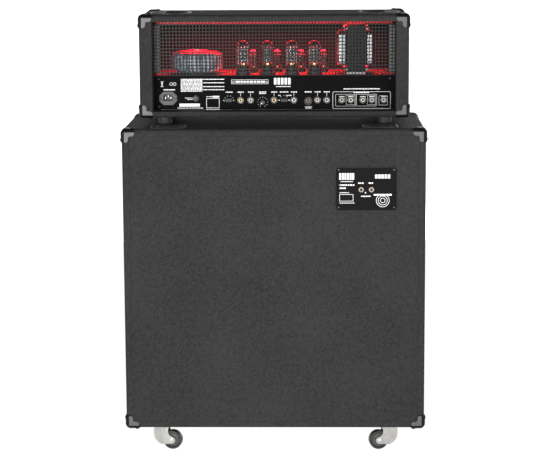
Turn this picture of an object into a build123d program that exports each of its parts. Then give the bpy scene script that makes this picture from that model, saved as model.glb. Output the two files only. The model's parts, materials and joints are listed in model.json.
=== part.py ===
"""Guitar amplifier stack: a valve head standing on a 4x12 speaker cabinet on four swivel casters.

Millimetres. +Z is up, the origin is on the floor under the middle of the cabinet.
The grille and the controls face -Y. The jack plate and the head's rear panel face +Y.
"""
from build123d import *
import os
from math import cos, radians, sin

os.makedirs("parts", exist_ok=True)

# ---------------------------------------------------------------- cabinet sizes
cab_width = 770.0
cab_depth = 380.0
cab_height = 778.0
cab_wall = 18.0
edge_radius = 9.0
panel_thickness = 15.0
baffle_thickness = 18.0
cloth_thickness = 4.0
cloth_recess = 6.0
piping_size = 5.0
batten_size = 20.0
fit_gap = 0.4

# ---------------------------------------------------------------- corner protectors
corner_leg = 34.0
corner_face = 11.5
corner_thickness = 2.0
corner_screw_from_end = 7.0
corner_screw_radius = 3.6
corner_screw_rise = 1.6

# ---------------------------------------------------------------- jack plate on the cabinet
jack_plate_width = 152.0
jack_plate_height = 108.0
jack_plate_thickness = 2.0
jack_plate_corner = 6.0
jack_plate_x = -234.0
jack_plate_below_top = 153.0
jack_plate_lip = 12.0
plate_screw_inset = 8.5
plate_screw_radius = 3.2
plate_screw_rise = 1.4
cab_jack_spacing = 26.0
cab_jack_drop = 1.5

# ---------------------------------------------------------------- jack sockets, for 6.35 mm plugs
jack_bore = 3.25
jack_bore_depth = 30.0
jack_ring_radius = 8.4
jack_ring_thickness = 3.0
jack_bush_radius = 5.0
jack_body_side = 15.0
jack_body_length = 24.0
cab_jack_ring_radius = 6.2

# ---------------------------------------------------------------- speakers
speaker_cutout = 141.5
speaker_radius = 154.0
speaker_spacing = 336.0
speaker_flange = 2.0
speaker_wall = 2.0
basket_depth = 78.0
basket_foot_radius = 62.0
basket_plate = 4.0
basket_window = 44.0
basket_windows = 6
magnet_radius = 78.0
magnet_length = 36.0
magnet_back_plate = 6.0
magnet_gap_outer = 25.0
pole_radius = 20.0
cone_radius = 131.0
cone_depth = 52.0
cone_wall = 1.6
coil_inner = 21.6
coil_wall = 1.2
coil_length = 44.0
dust_cap_radius = 40.0
dust_cap_rise = 11.0
cone_setback = 3.0

# ---------------------------------------------------------------- side handles of the cabinet
side_handle_length = 200.0
side_handle_height = 130.0
side_handle_flange = 1.5
side_handle_rim = 16.0
side_handle_depth = 46.0
side_handle_wall = 2.5
side_handle_bar = 28.0
side_handle_bar_thickness = 12.0
side_handle_above_middle = 95.0
side_handle_corner = 18.0

# ---------------------------------------------------------------- caster cups on the cabinet's top
cup_width = 90.0
cup_depth = 70.0
cup_rim = 7.0
cup_rise = 1.5
cup_floor = 2.0
cup_x = 270.0
cup_from_edge = 57.5
cup_corner = 2.0

# ---------------------------------------------------------------- casters
caster_height = 72.0
caster_x = 297.0
caster_from_edge = 65.0
caster_plate = 62.0
caster_plate_thickness = 2.5
raceway_radius = 20.5
raceway_top_height = 5.0
kingpin_radius = 5.0
raceway_gap = 0.5
fork_crown = 6.0
fork_width = 27.0
fork_slot = 21.6
fork_sheet = 2.6
fork_boss_radius = 9.0
fork_drop = 13.0
fork_nose = 3.0
fork_brow = 5.0
fork_heel = 8.0
fork_back_drop = 6.0
kingpin_play = 1.0
wheel_radius = 25.0
wheel_width = 20.0
wheel_gap = 2.0
hub_radius = 10.0
axle_radius = 4.0
axle_head_radius = 5.5
axle_head_rise = 1.6
running_gap = 0.05
trail = 28.0
rear_trail_angle = 10.0
front_trail_angle = -24.0

# ---------------------------------------------------------------- head sizes
head_width = 692.0
head_depth = 283.0
head_height = 264.0
head_side = 33.0
head_top_wall = 18.0
head_bottom_wall = 16.0
head_set_in = 92.0
foot_height = 19.0
foot_radius = 19.0
foot_taper = 3.0
foot_inset_x = 61.0
foot_inset_y = 45.0

# ---------------------------------------------------------------- handles in the head's top
top_handle_width = 110.0
top_handle_length = 188.0
top_handle_rim = 6.0
top_handle_rise = 2.0
top_handle_depth = 30.0
top_handle_wall = 2.5
top_handle_grip = 34.0
top_handle_x = 273.0
top_handle_gap = 1.0

# ---------------------------------------------------------------- chassis, panels and grilles
panel_height = 89.0
sheet = 1.5
panel_sheet = 2.0
rear_recess = 48.0
rear_grille_recess = 38.0
front_recess = 23.0
chassis_margin = 9.0
chassis_side_gap = 2.0

# ---------------------------------------------------------------- what stands on the chassis
toroid_radius = 69.0
toroid_hole = 15.0
toroid_height = 52.0
toroid_pad = 6.0
toroid_pad_radius = 50.0
toroid_cap_radius = 34.0
toroid_cap = 4.0
toroid_x = 204.0
core_width = 48.0
core_depth = 104.0
core_headroom = 14.0
core_stand = 6.0
bell_inset = 15.5
bell_depth = 78.0
bell_inboard = 27.0
bell_outboard = 21.0
output_transformer_x = -213.0
iron_set_back = 118.0
power_valve_x = [82.0, 18.0, -45.0, -104.0]
power_valve_radius = 18.0
power_valve_height = 82.0
power_valve_set_back = 80.0
power_socket_radius = 20.0
preamp_valve_offset = -24.0
preamp_valve_radius = 11.0
preamp_valve_height = 56.0
preamp_valve_set_back = 160.0
preamp_socket_radius = 13.0
socket_height = 8.0
led_strip_length = 440.0
led_strip_width = 10.0
led_strip_thickness = 3.0
led_strip_set_back = 125.0
board_length = 520.0
board_width = 120.0
board_thickness = 1.6
board_lift = 8.0
capacitor_radius = 11.0
capacitor_height = 38.0
capacitor_count = 6
capacitor_pitch = 34.0

# ---------------------------------------------------------------- rear panel fittings
jack_line = 24.3
rear_jack_x = [88.0, 62.0, 1.0, -50.5, -111.5, -135.5, -174.5, -198.0, -229.0, -252.5, -283.0]
rear_switch_x = [119.0, -25.0]
switch_bezel_width = 17.0
switch_bezel_height = 8.0
switch_bezel_thickness = 1.5
switch_slot_height = 4.0
slider_width = 5.0
slider_travel = 4.0
slider_rise = 3.0
slider_gap = 0.3
switch_body_depth = 10.0
rear_knob_x = 31.0
rear_knob_drop = 4.5
rear_knob_radius = 7.4
rear_knob_length = 12.0
footswitch_x = -87.5
footswitch_drop = 2.3
footswitch_ring = 10.7
footswitch_hole = 7.0
footswitch_depth = 8.0
footswitch_body = 9.0
fuse_x = 203.0
fuse_lift = 6.0
fuse_cap_radius = 8.0
fuse_cap_length = 12.0
fuse_body_radius = 6.5
fuse_body_length = 30.0
inlet_x = 276.0
inlet_lift = 6.0
inlet_width = 47.0
inlet_height = 36.0
inlet_chamfer = 11.0
inlet_bezel = 3.0
inlet_body_width = 30.0
inlet_body_height = 26.0
inlet_body_depth = 26.0
inlet_socket_width = 24.4
inlet_socket_height = 17.0
inlet_socket_depth = 18.0
inlet_socket_lift = 2.5

# ---------------------------------------------------------------- front panel fittings
front_line = 44.0
knob_count = 7
knob_pitch = 48.0
knob_middle = -28.0
knob_radius = 9.5
knob_length = 15.0
knob_gap = 1.0
spindle_radius = 3.0
spindle_length = 8.0
pot_radius = 8.0
pot_length = 9.0
front_jack_x = -276.0
toggle_x = -238.0
toggle_bush_radius = 5.5
toggle_bore = 4.0
toggle_bush_length = 6.0
toggle_radius = 2.0
toggle_tip_radius = 3.2
toggle_length = 18.0
toggle_tail = 5.0
toggle_body = 14.0
lamp_x = 172.0
lamp_radius = 7.0
lamp_rise = 8.0
rocker_x = [232.0, 272.0]
rocker_frame_width = 22.0
rocker_frame_height = 30.0
rocker_frame_rise = 2.0
rocker_width = 14.0
rocker_height = 22.0
rocker_clearance = 0.8
rocker_depth = 12.0
rocker_rise = 2.5

# ---------------------------------------------------------------- places worked out from the sizes
cab_bottom = caster_height
cab_top = cab_bottom + cab_height
cab_middle = cab_bottom + cab_height / 2
cab_back = cab_depth / 2
cab_front = -cab_depth / 2
cab_inner_width = cab_width - 2 * cab_wall
cab_inner_height = cab_height - 2 * cab_wall
cloth_front = cab_front + cloth_recess
baffle_front = cloth_front + cloth_thickness
baffle_back = baffle_front + baffle_thickness
panel_front = cab_back - panel_thickness
jack_plate_z = cab_top - jack_plate_below_top
cab_jack_z = jack_plate_z - cab_jack_drop
side_handle_z = cab_middle + side_handle_above_middle
cup_y = cab_depth / 2 - cup_from_edge
caster_y = cab_depth / 2 - caster_from_edge

head_bottom = cab_top + foot_height
head_top = head_bottom + head_height
head_middle = head_bottom + head_height / 2
head_back = cab_back - head_set_in
head_front = head_back - head_depth
head_mid_y = (head_back + head_front) / 2
bay_width = head_width - 2 * head_side
bay_bottom = head_bottom + head_bottom_wall
bay_top = head_top - head_top_wall
chassis_top = bay_bottom + panel_height
rear_face = head_back - rear_recess
rear_grille_face = head_back - rear_grille_recess
front_face = head_front + front_recess
jack_z = bay_bottom + jack_line
front_z = bay_bottom + front_line
iron_y = head_back - iron_set_back
power_valve_y = head_back - power_valve_set_back
preamp_valve_y = head_back - preamp_valve_set_back
bowl_width = top_handle_width - 2 * top_handle_rim
bowl_length = top_handle_length - 2 * top_handle_rim
top_handle_y = rear_grille_face - sheet - top_handle_gap - bowl_length / 2
both = (-1, 1)


# ---------------------------------------------------------------- helpers
def block(x_span, y_span, z_span, mode=Mode.ADD):
    """A box between three pairs of coordinates, added to the part being built."""
    centre = tuple((low + high) / 2 for low, high in (x_span, y_span, z_span))
    size = [high - low for low, high in (x_span, y_span, z_span)]
    with Locations(centre):
        Box(*size, mode=mode)


def rod_y(radius, x, z, y_span, mode=Mode.ADD):
    """A round bar along Y between two values of Y."""
    with BuildSketch(at_y(y_span[1])) as section:
        with Locations((x, z)):
            Circle(radius)
    extrude(section.sketch, amount=y_span[1] - y_span[0], mode=mode)


def rod_z(radius, x, y, z_span, mode=Mode.ADD):
    """A round bar along Z between two heights."""
    with BuildSketch(Plane.XY.offset(z_span[0])) as section:
        with Locations((x, y)):
            Circle(radius)
    extrude(section.sketch, amount=z_span[1] - z_span[0], mode=mode)


def at_y(y):
    """The upright plane at this Y, with X to the right, Z up and its normal along -Y."""
    return Plane.XZ.offset(-y)


def save(builder, name):
    """Label a finished piece and write its STEP file."""
    builder.part.label = name
    export_step(builder.part, f"parts/{name}.step")


def rounded_case(width, depth, height, middle, radius):
    """A solid case with every outer edge rounded."""
    with BuildPart() as case:
        with Locations(middle):
            Box(width, depth, height)
        fillet(case.edges(), radius)
    return case


def corner_protectors(width, depth, height, middle):
    """Eight three-legged protectors that wrap the corners of a case, and two screws on each."""
    size = (width, depth, height)
    outer = [value + 2 * corner_thickness for value in size]
    skin = rounded_case(*outer, middle, edge_radius + corner_thickness)
    case = rounded_case(*size, middle, edge_radius)
    with BuildPart() as zones:
        for along in range(3):
            leg = [corner_face + corner_thickness] * 3
            leg[along] = corner_leg + corner_thickness
            reach = [(outer[i] - leg[i]) / 2 for i in range(3)]
            spots = [
                (middle[0] + sx * reach[0], middle[1] + sy * reach[1], middle[2] + sz * reach[2])
                for sx in both for sy in both for sz in both
            ]
            with Locations(*spots):
                Box(*leg)
    screw_line = corner_face - corner_screw_radius - 1.0
    screw_reach = corner_leg - corner_screw_from_end
    with BuildPart() as protectors:
        add(skin.part)
        add(case.part, mode=Mode.SUBTRACT)
        add(zones.part, mode=Mode.INTERSECT)
        for sx in both:
            for sy in both:
                for sz in both:
                    along_x = (
                        middle[0] + sx * (width / 2 - screw_reach),
                        middle[1] + sy * (depth / 2 - screw_line),
                        middle[2] + sz * (height / 2 + corner_thickness),
                    )
                    along_z = (
                        middle[0] + sx * (width / 2 + corner_thickness),
                        middle[1] + sy * (depth / 2 - screw_line),
                        middle[2] + sz * (height / 2 - screw_reach),
                    )
                    with BuildSketch(Plane(origin=along_x, z_dir=(0, 0, sz))):
                        Circle(corner_screw_radius)
                    extrude(amount=corner_screw_rise, taper=25)
                    with BuildSketch(Plane(origin=along_z, z_dir=(sx, 0, 0))):
                        Circle(corner_screw_radius)
                    extrude(amount=corner_screw_rise, taper=25)
    return protectors


def jack(x, z, face, outward, ring_radius, panel):
    """One jack socket: ring nut outside the panel, bush through it, square body inside, blind bore."""
    def span(start, end):
        return sorted((face + outward * start, face + outward * end))

    rod_y(ring_radius, x, z, span(0, jack_ring_thickness))
    rod_y(jack_bush_radius, x, z, span(-panel, 0))
    half = jack_body_side / 2
    block((x - half, x + half), span(-panel - jack_body_length, -panel), (z - half, z + half))
    rod_y(jack_bore, x, z, span(jack_ring_thickness - jack_bore_depth, jack_ring_thickness), Mode.SUBTRACT)


# ---------------------------------------------------------------- cabinet shell
with BuildPart() as cabinet_shell:
    add(rounded_case(cab_width, cab_depth, cab_height, (0, 0, cab_middle), edge_radius).part)
    with Locations((0, 0, cab_middle)):
        Box(cab_inner_width, cab_depth, cab_inner_height, mode=Mode.SUBTRACT)
    with Locations(*[(sx * cup_x, sy * cup_y, cab_top - cup_floor / 2) for sx in both for sy in both]):
        Box(cup_width + fit_gap, cup_depth + fit_gap, cup_floor, mode=Mode.SUBTRACT)
    with Locations((0, 0, side_handle_z)):
        Box(
            cab_width,
            side_handle_length - 2 * side_handle_rim + fit_gap,
            side_handle_height - 2 * side_handle_rim + fit_gap,
            mode=Mode.SUBTRACT,
        )
save(cabinet_shell, "cabinet_shell")

# ---------------------------------------------------------------- rear panel, with the jack plate's window
rear_board_width = cab_inner_width - 2 * fit_gap
rear_board_height = cab_inner_height - 2 * fit_gap
with BuildPart() as cabinet_rear_panel:
    with BuildSketch(at_y(cab_back)):
        with Locations((0, cab_middle)):
            Rectangle(rear_board_width, rear_board_height)
        with Locations((jack_plate_x, jack_plate_z)):
            Rectangle(
                jack_plate_width - 2 * jack_plate_lip,
                jack_plate_height - 2 * jack_plate_lip,
                mode=Mode.SUBTRACT,
            )
    extrude(amount=panel_thickness)
save(cabinet_rear_panel, "cabinet_rear_panel")

# ---------------------------------------------------------------- battens behind the baffle and the rear panel
with BuildPart() as cabinet_battens:
    for batten_back in (panel_front, baffle_back + batten_size):
        with BuildSketch(at_y(batten_back)):
            with Locations((0, cab_middle)):
                Rectangle(cab_inner_width, cab_inner_height)
                Rectangle(
                    cab_inner_width - 2 * batten_size,
                    cab_inner_height - 2 * batten_size,
                    mode=Mode.SUBTRACT,
                )
        extrude(amount=batten_size)
save(cabinet_battens, "cabinet_battens")

# ---------------------------------------------------------------- baffle with four round cut-outs
speaker_spots = [
    (sx * speaker_spacing / 2, cab_middle + sz * speaker_spacing / 2) for sz in (1, -1) for sx in both
]
with BuildPart() as cabinet_baffle:
    with BuildSketch(at_y(baffle_back)):
        with Locations((0, cab_middle)):
            Rectangle(cab_inner_width - 2 * fit_gap, cab_inner_height - 2 * fit_gap)
        with Locations(*speaker_spots):
            Circle(speaker_cutout, mode=Mode.SUBTRACT)
    extrude(amount=baffle_thickness)
save(cabinet_baffle, "cabinet_baffle")

# ---------------------------------------------------------------- grille cloth and the piping round it
cloth_margin = piping_size + 2 * fit_gap
with BuildPart() as grille_cloth:
    with BuildSketch(at_y(baffle_front)):
        with Locations((0, cab_middle)):
            Rectangle(cab_inner_width - 2 * cloth_margin, cab_inner_height - 2 * cloth_margin)
    extrude(amount=cloth_thickness)
save(grille_cloth, "grille_cloth")

with BuildPart() as grille_piping:
    with BuildSketch(at_y(baffle_front)):
        with Locations((0, cab_middle)):
            Rectangle(cab_inner_width - 2 * fit_gap, cab_inner_height - 2 * fit_gap)
            Rectangle(
                cab_inner_width - 2 * fit_gap - 2 * piping_size,
                cab_inner_height - 2 * fit_gap - 2 * piping_size,
                mode=Mode.SUBTRACT,
            )
    extrude(amount=cloth_thickness + piping_size / 2)
save(grille_piping, "grille_piping")

# ---------------------------------------------------------------- corner protectors of the cabinet
cabinet_corners = corner_protectors(cab_width, cab_depth, cab_height, (0, 0, cab_middle))
save(cabinet_corners, "cabinet_corners")

# ---------------------------------------------------------------- jack plate, its screws and its two jacks
cab_jack_x = [jack_plate_x + side * cab_jack_spacing / 2 for side in both]
with BuildPart() as jack_plate:
    with BuildSketch(at_y(cab_back + jack_plate_thickness)):
        with Locations((jack_plate_x, jack_plate_z)):
            RectangleRounded(jack_plate_width, jack_plate_height, jack_plate_corner)
        with Locations(*[(x, cab_jack_z) for x in cab_jack_x]):
            Circle(jack_bush_radius + fit_gap / 2, mode=Mode.SUBTRACT)
    extrude(amount=jack_plate_thickness)
    screw_x = jack_plate_width / 2 - plate_screw_inset
    screw_z = jack_plate_height / 2 - plate_screw_inset
    with BuildSketch(at_y(cab_back + jack_plate_thickness)):
        with Locations(*[
            (jack_plate_x + sx * screw_x, jack_plate_z + sz * screw_z) for sx in both for sz in both
        ]):
            Circle(plate_screw_radius)
    extrude(amount=-plate_screw_rise, taper=-25)
save(jack_plate, "jack_plate")

with BuildPart() as cabinet_jacks:
    for x in cab_jack_x:
        jack(x, cab_jack_z, cab_back + jack_plate_thickness, 1, cab_jack_ring_radius, jack_plate_thickness)
save(cabinet_jacks, "cabinet_jacks")

# ---------------------------------------------------------------- speakers, drawn on their own axis, then placed
speaker_planes = [
    Plane(origin=(x, baffle_back, z), x_dir=(1, 0, 0), z_dir=(0, 1, 0)) for x, z in speaker_spots
]
basket_rim = speaker_cutout - 4.5
with BuildPart() as one_frame:
    with BuildSketch(Plane.XZ):
        with BuildLine():
            Polyline(
                (basket_rim, 0),
                (speaker_radius, 0),
                (speaker_radius, speaker_flange),
                (basket_rim + speaker_wall, speaker_flange),
                (basket_foot_radius + speaker_wall, basket_depth - basket_plate),
                (basket_foot_radius + speaker_wall, basket_depth),
                (magnet_gap_outer, basket_depth),
                (magnet_gap_outer, basket_depth - basket_plate),
                (basket_foot_radius, basket_depth - basket_plate),
                (basket_rim, speaker_flange),
                close=True,
            )
        make_face()
    revolve(axis=Axis.Z)
    window_radius = (basket_rim + basket_foot_radius) / 2
    with Locations((0, 0, basket_depth / 2)):
        with PolarLocations(window_radius, basket_windows):
            Box(window_radius, basket_window, basket_depth / 2, mode=Mode.SUBTRACT)

with BuildPart() as one_magnet:
    with Locations((0, 0, basket_depth)):
        Cylinder(magnet_radius, magnet_length, align=(Align.CENTER, Align.CENTER, Align.MIN))
        Cylinder(
            magnet_gap_outer, magnet_length,
            align=(Align.CENTER, Align.CENTER, Align.MIN), mode=Mode.SUBTRACT,
        )
        Cylinder(pole_radius, magnet_length, align=(Align.CENTER, Align.CENTER, Align.MIN))
    with Locations((0, 0, basket_depth + magnet_length)):
        Cylinder(
            magnet_radius - magnet_back_plate, magnet_back_plate,
            align=(Align.CENTER, Align.CENTER, Align.MIN),
        )

cone_slope = cone_depth / (cone_radius - coil_inner)
dust_cap_seat = cone_setback + cone_slope * (cone_radius - dust_cap_radius)
with BuildPart() as one_cone:
    with BuildSketch(Plane.XZ):
        with BuildLine():
            Polyline(
                (cone_radius, -cone_setback),
                (cone_radius, -cone_setback + cone_wall),
                (coil_inner + coil_wall, cone_depth - cone_setback + cone_wall),
                (coil_inner + coil_wall, cone_depth - cone_setback + coil_length),
                (coil_inner, cone_depth - cone_setback + coil_length),
                (coil_inner, cone_depth - cone_setback),
                close=True,
            )
        make_face()
        with BuildLine():
            rim = (dust_cap_radius, dust_cap_seat - 2 * cone_setback)
            crown = (0, rim[1] - dust_cap_rise)
            Polyline(
                crown,
                (dust_cap_radius / 2, crown[1] + dust_cap_rise / 4),
                rim,
                (rim[0], rim[1] + cone_wall),
                (dust_cap_radius / 2, crown[1] + dust_cap_rise / 4 + cone_wall),
                (0, crown[1] + cone_wall),
                close=True,
            )
        make_face()
    revolve(axis=Axis.Z)

with BuildPart() as speaker_frames:
    with Locations(*speaker_planes):
        add(one_frame.part)
save(speaker_frames, "speaker_frames")

with BuildPart() as speaker_magnets:
    with Locations(*speaker_planes):
        add(one_magnet.part)
save(speaker_magnets, "speaker_magnets")

for number, place in enumerate(speaker_planes, start=1):
    with BuildPart() as speaker_cone:
        with Locations(place):
            add(one_cone.part)
    save(speaker_cone, f"speaker_cone_{number}")

# ---------------------------------------------------------------- recessed bar handles in the cabinet's sides
dish_length = side_handle_length - 2 * side_handle_rim
dish_height = side_handle_height - 2 * side_handle_rim
with BuildPart() as side_handles:
    for side in both:
        wall = Plane(origin=(side * cab_width / 2, 0, side_handle_z), x_dir=(0, side, 0), z_dir=(side, 0, 0))
        with BuildSketch(wall):
            RectangleRounded(side_handle_length, side_handle_height, side_handle_corner)
        extrude(amount=side_handle_flange)
        with BuildSketch(wall):
            Rectangle(dish_length, dish_height)
        extrude(amount=-side_handle_depth)
        with BuildSketch(wall.offset(side_handle_flange)):
            Rectangle(dish_length - 2 * side_handle_wall, dish_height - 2 * side_handle_wall)
        extrude(amount=-side_handle_depth - side_handle_flange + side_handle_wall, mode=Mode.SUBTRACT)
        with BuildSketch(wall):
            with Locations((0, dish_height / 2 - side_handle_bar / 2 - side_handle_wall)):
                Rectangle(dish_length, side_handle_bar)
        extrude(amount=-side_handle_bar_thickness)
save(side_handles, "side_handles")

# ---------------------------------------------------------------- shallow cups let into the top
with BuildPart() as top_cups:
    with Locations(*[(sx * cup_x, sy * cup_y, cab_top - cup_floor) for sx in both for sy in both]):
        Box(cup_width, cup_depth, cup_floor + cup_rise, align=(Align.CENTER, Align.CENTER, Align.MIN))
    fillet(top_cups.edges().filter_by(Axis.Z), cup_corner)
    with Locations(*[(sx * cup_x, sy * cup_y, cab_top) for sx in both for sy in both]):
        Box(
            cup_width - 2 * cup_rim, cup_depth - 2 * cup_rim, cup_rise,
            align=(Align.CENTER, Align.CENTER, Align.MIN), mode=Mode.SUBTRACT,
        )
save(top_cups, "top_cups")

# ---------------------------------------------------------------- casters
caster_spots = [
    (1, 1, rear_trail_angle),
    (-1, 1, rear_trail_angle),
    (1, -1, front_trail_angle),
    (-1, -1, front_trail_angle),
]
raceway_bottom = cab_bottom - caster_plate_thickness - raceway_top_height
crown_top = raceway_bottom - raceway_gap
crown_bottom = crown_top - fork_crown
with BuildPart() as caster_plates:
    for sx, sy, turn in caster_spots:
        x, y = sx * caster_x, sy * caster_y
        half = caster_plate / 2
        block((x - half, x + half), (y - half, y + half), (cab_bottom - caster_plate_thickness, cab_bottom))
        rod_z(raceway_radius - kingpin_play, x, y, (raceway_bottom, cab_bottom - caster_plate_thickness))
        rod_z(kingpin_radius, x, y, (crown_bottom + kingpin_play, raceway_bottom))
save(caster_plates, "caster_plates")

for number, (sx, sy, turn) in enumerate(caster_spots, start=1):
    direction = Vector(-sx * cos(radians(turn)), sin(radians(turn)), 0)
    origin = Vector(sx * caster_x, sy * caster_y, 0)
    side_view = Plane(origin=origin, x_dir=direction, z_dir=direction.cross(Vector(0, 0, 1)))
    back = -raceway_radius
    with BuildPart() as caster_fork:
        with BuildSketch(side_view):
            with BuildLine():
                boss_start = (trail + fork_boss_radius / 3, wheel_radius + fork_boss_radius * 0.943)
                heel = (back, crown_bottom - fork_back_drop)
                nose = Line((back + fork_nose, crown_top), (raceway_radius - fork_nose, crown_top))
                front = Line(nose @ 1, (raceway_radius - 1, crown_bottom))
                Spline(
                    front @ 1, (raceway_radius + 1, wheel_radius + fork_boss_radius + fork_brow), boss_start,
                )
                boss = ThreePointArc(
                    boss_start, (trail + fork_boss_radius, wheel_radius), (trail, wheel_radius - fork_boss_radius),
                )
                belly = Line(boss @ 1, (2, fork_drop))
                Spline(belly @ 1, (back + fork_heel, wheel_radius - fork_nose), heel)
                Line(heel, (back + fork_nose, crown_top))
            make_face()
        extrude(amount=fork_width / 2, both=True)
        with BuildSketch(Plane.XY.offset(crown_bottom)):
            with Locations((origin.X, origin.Y)):
                Circle(raceway_radius)
        extrude(amount=fork_crown)
        with BuildSketch(Plane(origin=origin, x_dir=direction, z_dir=(0, 0, 1))):
            with Locations((trail / 2 + 1, 0)):
                Rectangle(trail + 2 * wheel_radius, fork_slot)
            with Locations((back + fork_slot / 2 + fork_sheet, 0)):
                Circle(fork_slot / 2)
            with Locations((back - wheel_radius + fork_slot / 2 + fork_sheet, 0)):
                Rectangle(2 * wheel_radius, fork_slot + 2, mode=Mode.SUBTRACT)
            with Locations((back + fork_slot / 2 + fork_sheet, 0)):
                Circle(fork_slot / 2)
        extrude(amount=crown_bottom, mode=Mode.SUBTRACT)
        with BuildSketch(side_view.offset(-fork_width / 2 - axle_head_rise)):
            with Locations((trail, wheel_radius)):
                Circle(axle_head_radius)
        extrude(amount=axle_head_rise)
        with BuildSketch(side_view.offset(fork_width / 2)):
            with Locations((trail, wheel_radius)):
                Circle(axle_head_radius)
        extrude(amount=axle_head_rise)
        with BuildSketch(side_view):
            with Locations((trail, wheel_radius)):
                Circle(axle_radius)
        extrude(amount=fork_width / 2, both=True)
        rod_z(kingpin_radius + running_gap, origin.X, origin.Y, (crown_bottom, crown_top), Mode.SUBTRACT)
    save(caster_fork, f"caster_fork_{number}")

    hub = origin + direction * trail + Vector(0, 0, wheel_radius)
    with BuildPart() as caster_wheel:
        with BuildSketch(side_view):
            with Locations((trail, wheel_radius)):
                Circle(wheel_radius)
        extrude(amount=wheel_width / 2, both=True)
        fillet(caster_wheel.edges(), wheel_width / 6)
        for face_side in both:
            face_plane = Plane(
                origin=hub + side_view.z_dir * (face_side * wheel_width / 2),
                x_dir=direction,
                z_dir=side_view.z_dir * face_side,
            )
            with BuildSketch(face_plane):
                Circle(wheel_radius - wheel_width / 4)
                Circle(hub_radius, mode=Mode.SUBTRACT)
            extrude(amount=-wheel_gap, mode=Mode.SUBTRACT)
        with BuildSketch(side_view):
            with Locations((trail, wheel_radius)):
                Circle(axle_radius + running_gap)
        extrude(amount=wheel_width, both=True, mode=Mode.SUBTRACT)
    save(caster_wheel, f"caster_wheel_{number}")

# ---------------------------------------------------------------- head shell
head_middle_point = (0, head_mid_y, head_middle)
with BuildPart() as head_shell:
    add(rounded_case(head_width, head_depth, head_height, head_middle_point, edge_radius).part)
    block(
        (-bay_width / 2, bay_width / 2), (head_front, head_back), (bay_bottom, bay_top), Mode.SUBTRACT,
    )
    with BuildSketch(Plane.XY.offset(head_top)):
        with Locations(*[(side * top_handle_x, top_handle_y) for side in both]):
            Ellipse((bowl_width + fit_gap) / 2, (bowl_length + fit_gap) / 2)
    extrude(amount=-top_handle_depth - fit_gap, mode=Mode.SUBTRACT)
save(head_shell, "head_shell")

head_corners = corner_protectors(head_width, head_depth, head_height, head_middle_point)
save(head_corners, "head_corners")

# ---------------------------------------------------------------- rubber feet
with BuildPart() as head_feet:
    with BuildSketch(Plane.XY.offset(head_bottom)):
        with Locations(*[
            (sx * (head_width / 2 - foot_inset_x), head_mid_y + sy * (head_depth / 2 - foot_inset_y))
            for sx in both for sy in both
        ]):
            Circle(foot_radius)
    extrude(amount=-foot_height, taper=foot_taper)
save(head_feet, "head_feet")

# ---------------------------------------------------------------- oval handle dishes in the head's top
with BuildPart() as head_handles:
    for side in both:
        x = side * top_handle_x
        with BuildSketch(Plane.XY.offset(head_top)):
            with Locations((x, top_handle_y)):
                Ellipse(top_handle_width / 2, top_handle_length / 2)
        extrude(amount=top_handle_rise)
        with BuildSketch(Plane.XY.offset(head_top)):
            with Locations((x, top_handle_y)):
                Ellipse(bowl_width / 2, bowl_length / 2)
        extrude(amount=-top_handle_depth)
        with BuildSketch(Plane.XY.offset(head_top - top_handle_depth + top_handle_wall)):
            with Locations((x, top_handle_y)):
                Ellipse(bowl_width / 2 - top_handle_wall, bowl_length / 2 - top_handle_wall)
        extrude(amount=top_handle_depth + top_handle_rise, mode=Mode.SUBTRACT)
        with BuildSketch(Plane.XY.offset(head_top + top_handle_rise)):
            with Locations((x, top_handle_y)):
                Ellipse(bowl_width / 2, bowl_length / 2)
            with Locations((x - side * top_handle_grip, top_handle_y)):
                Rectangle(bowl_width, top_handle_length, mode=Mode.SUBTRACT)
        extrude(amount=-top_handle_rise - top_handle_wall)
save(head_handles, "head_handles")

# ---------------------------------------------------------------- chassis: a steel box open below
chassis_half = bay_width / 2 - chassis_side_gap
chassis_front = front_face + panel_sheet
chassis_back = rear_face - panel_sheet
with BuildPart() as chassis:
    block((-chassis_half, chassis_half), (chassis_front, chassis_back), (bay_bottom, chassis_top))
    block(
        (-chassis_half + sheet, chassis_half - sheet),
        (chassis_front + sheet, chassis_back - sheet),
        (bay_bottom, chassis_top - sheet),
        Mode.SUBTRACT,
    )
    block(
        (-chassis_half + chassis_margin, chassis_half - chassis_margin),
        (chassis_front, chassis_back),
        (bay_bottom + chassis_margin, chassis_top - chassis_margin),
        Mode.SUBTRACT,
    )
save(chassis, "chassis")

# ---------------------------------------------------------------- rear panel of the head
inlet_z = jack_z + inlet_lift
fuse_z = jack_z + fuse_lift
footswitch_z = jack_z - footswitch_drop
rear_knob_z = jack_z - rear_knob_drop
switch_body_width = switch_bezel_width - 2 * switch_bezel_thickness
with BuildPart() as rear_panel:
    with BuildSketch(at_y(rear_face)):
        with Locations((0, bay_bottom + panel_height / 2)):
            Rectangle(bay_width - 2 * fit_gap, panel_height - 2 * fit_gap)
        with Locations(*[(x, jack_z) for x in rear_jack_x]):
            Circle(jack_bush_radius + fit_gap / 2, mode=Mode.SUBTRACT)
        with Locations(*[(x, jack_z) for x in rear_switch_x]):
            Rectangle(
                switch_body_width + fit_gap, switch_bezel_height - 1 + fit_gap, mode=Mode.SUBTRACT,
            )
        with Locations((rear_knob_x, rear_knob_z)):
            Circle(spindle_radius + running_gap, mode=Mode.SUBTRACT)
        with Locations((footswitch_x, footswitch_z)):
            Circle(footswitch_body + fit_gap / 2, mode=Mode.SUBTRACT)
        with Locations((fuse_x, fuse_z)):
            Circle(fuse_body_radius + fit_gap / 2, mode=Mode.SUBTRACT)
        with Locations((inlet_x, inlet_z)):
            Rectangle(inlet_body_width + fit_gap, inlet_body_height + fit_gap, mode=Mode.SUBTRACT)
    extrude(amount=panel_sheet)
save(rear_panel, "rear_panel")

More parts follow.
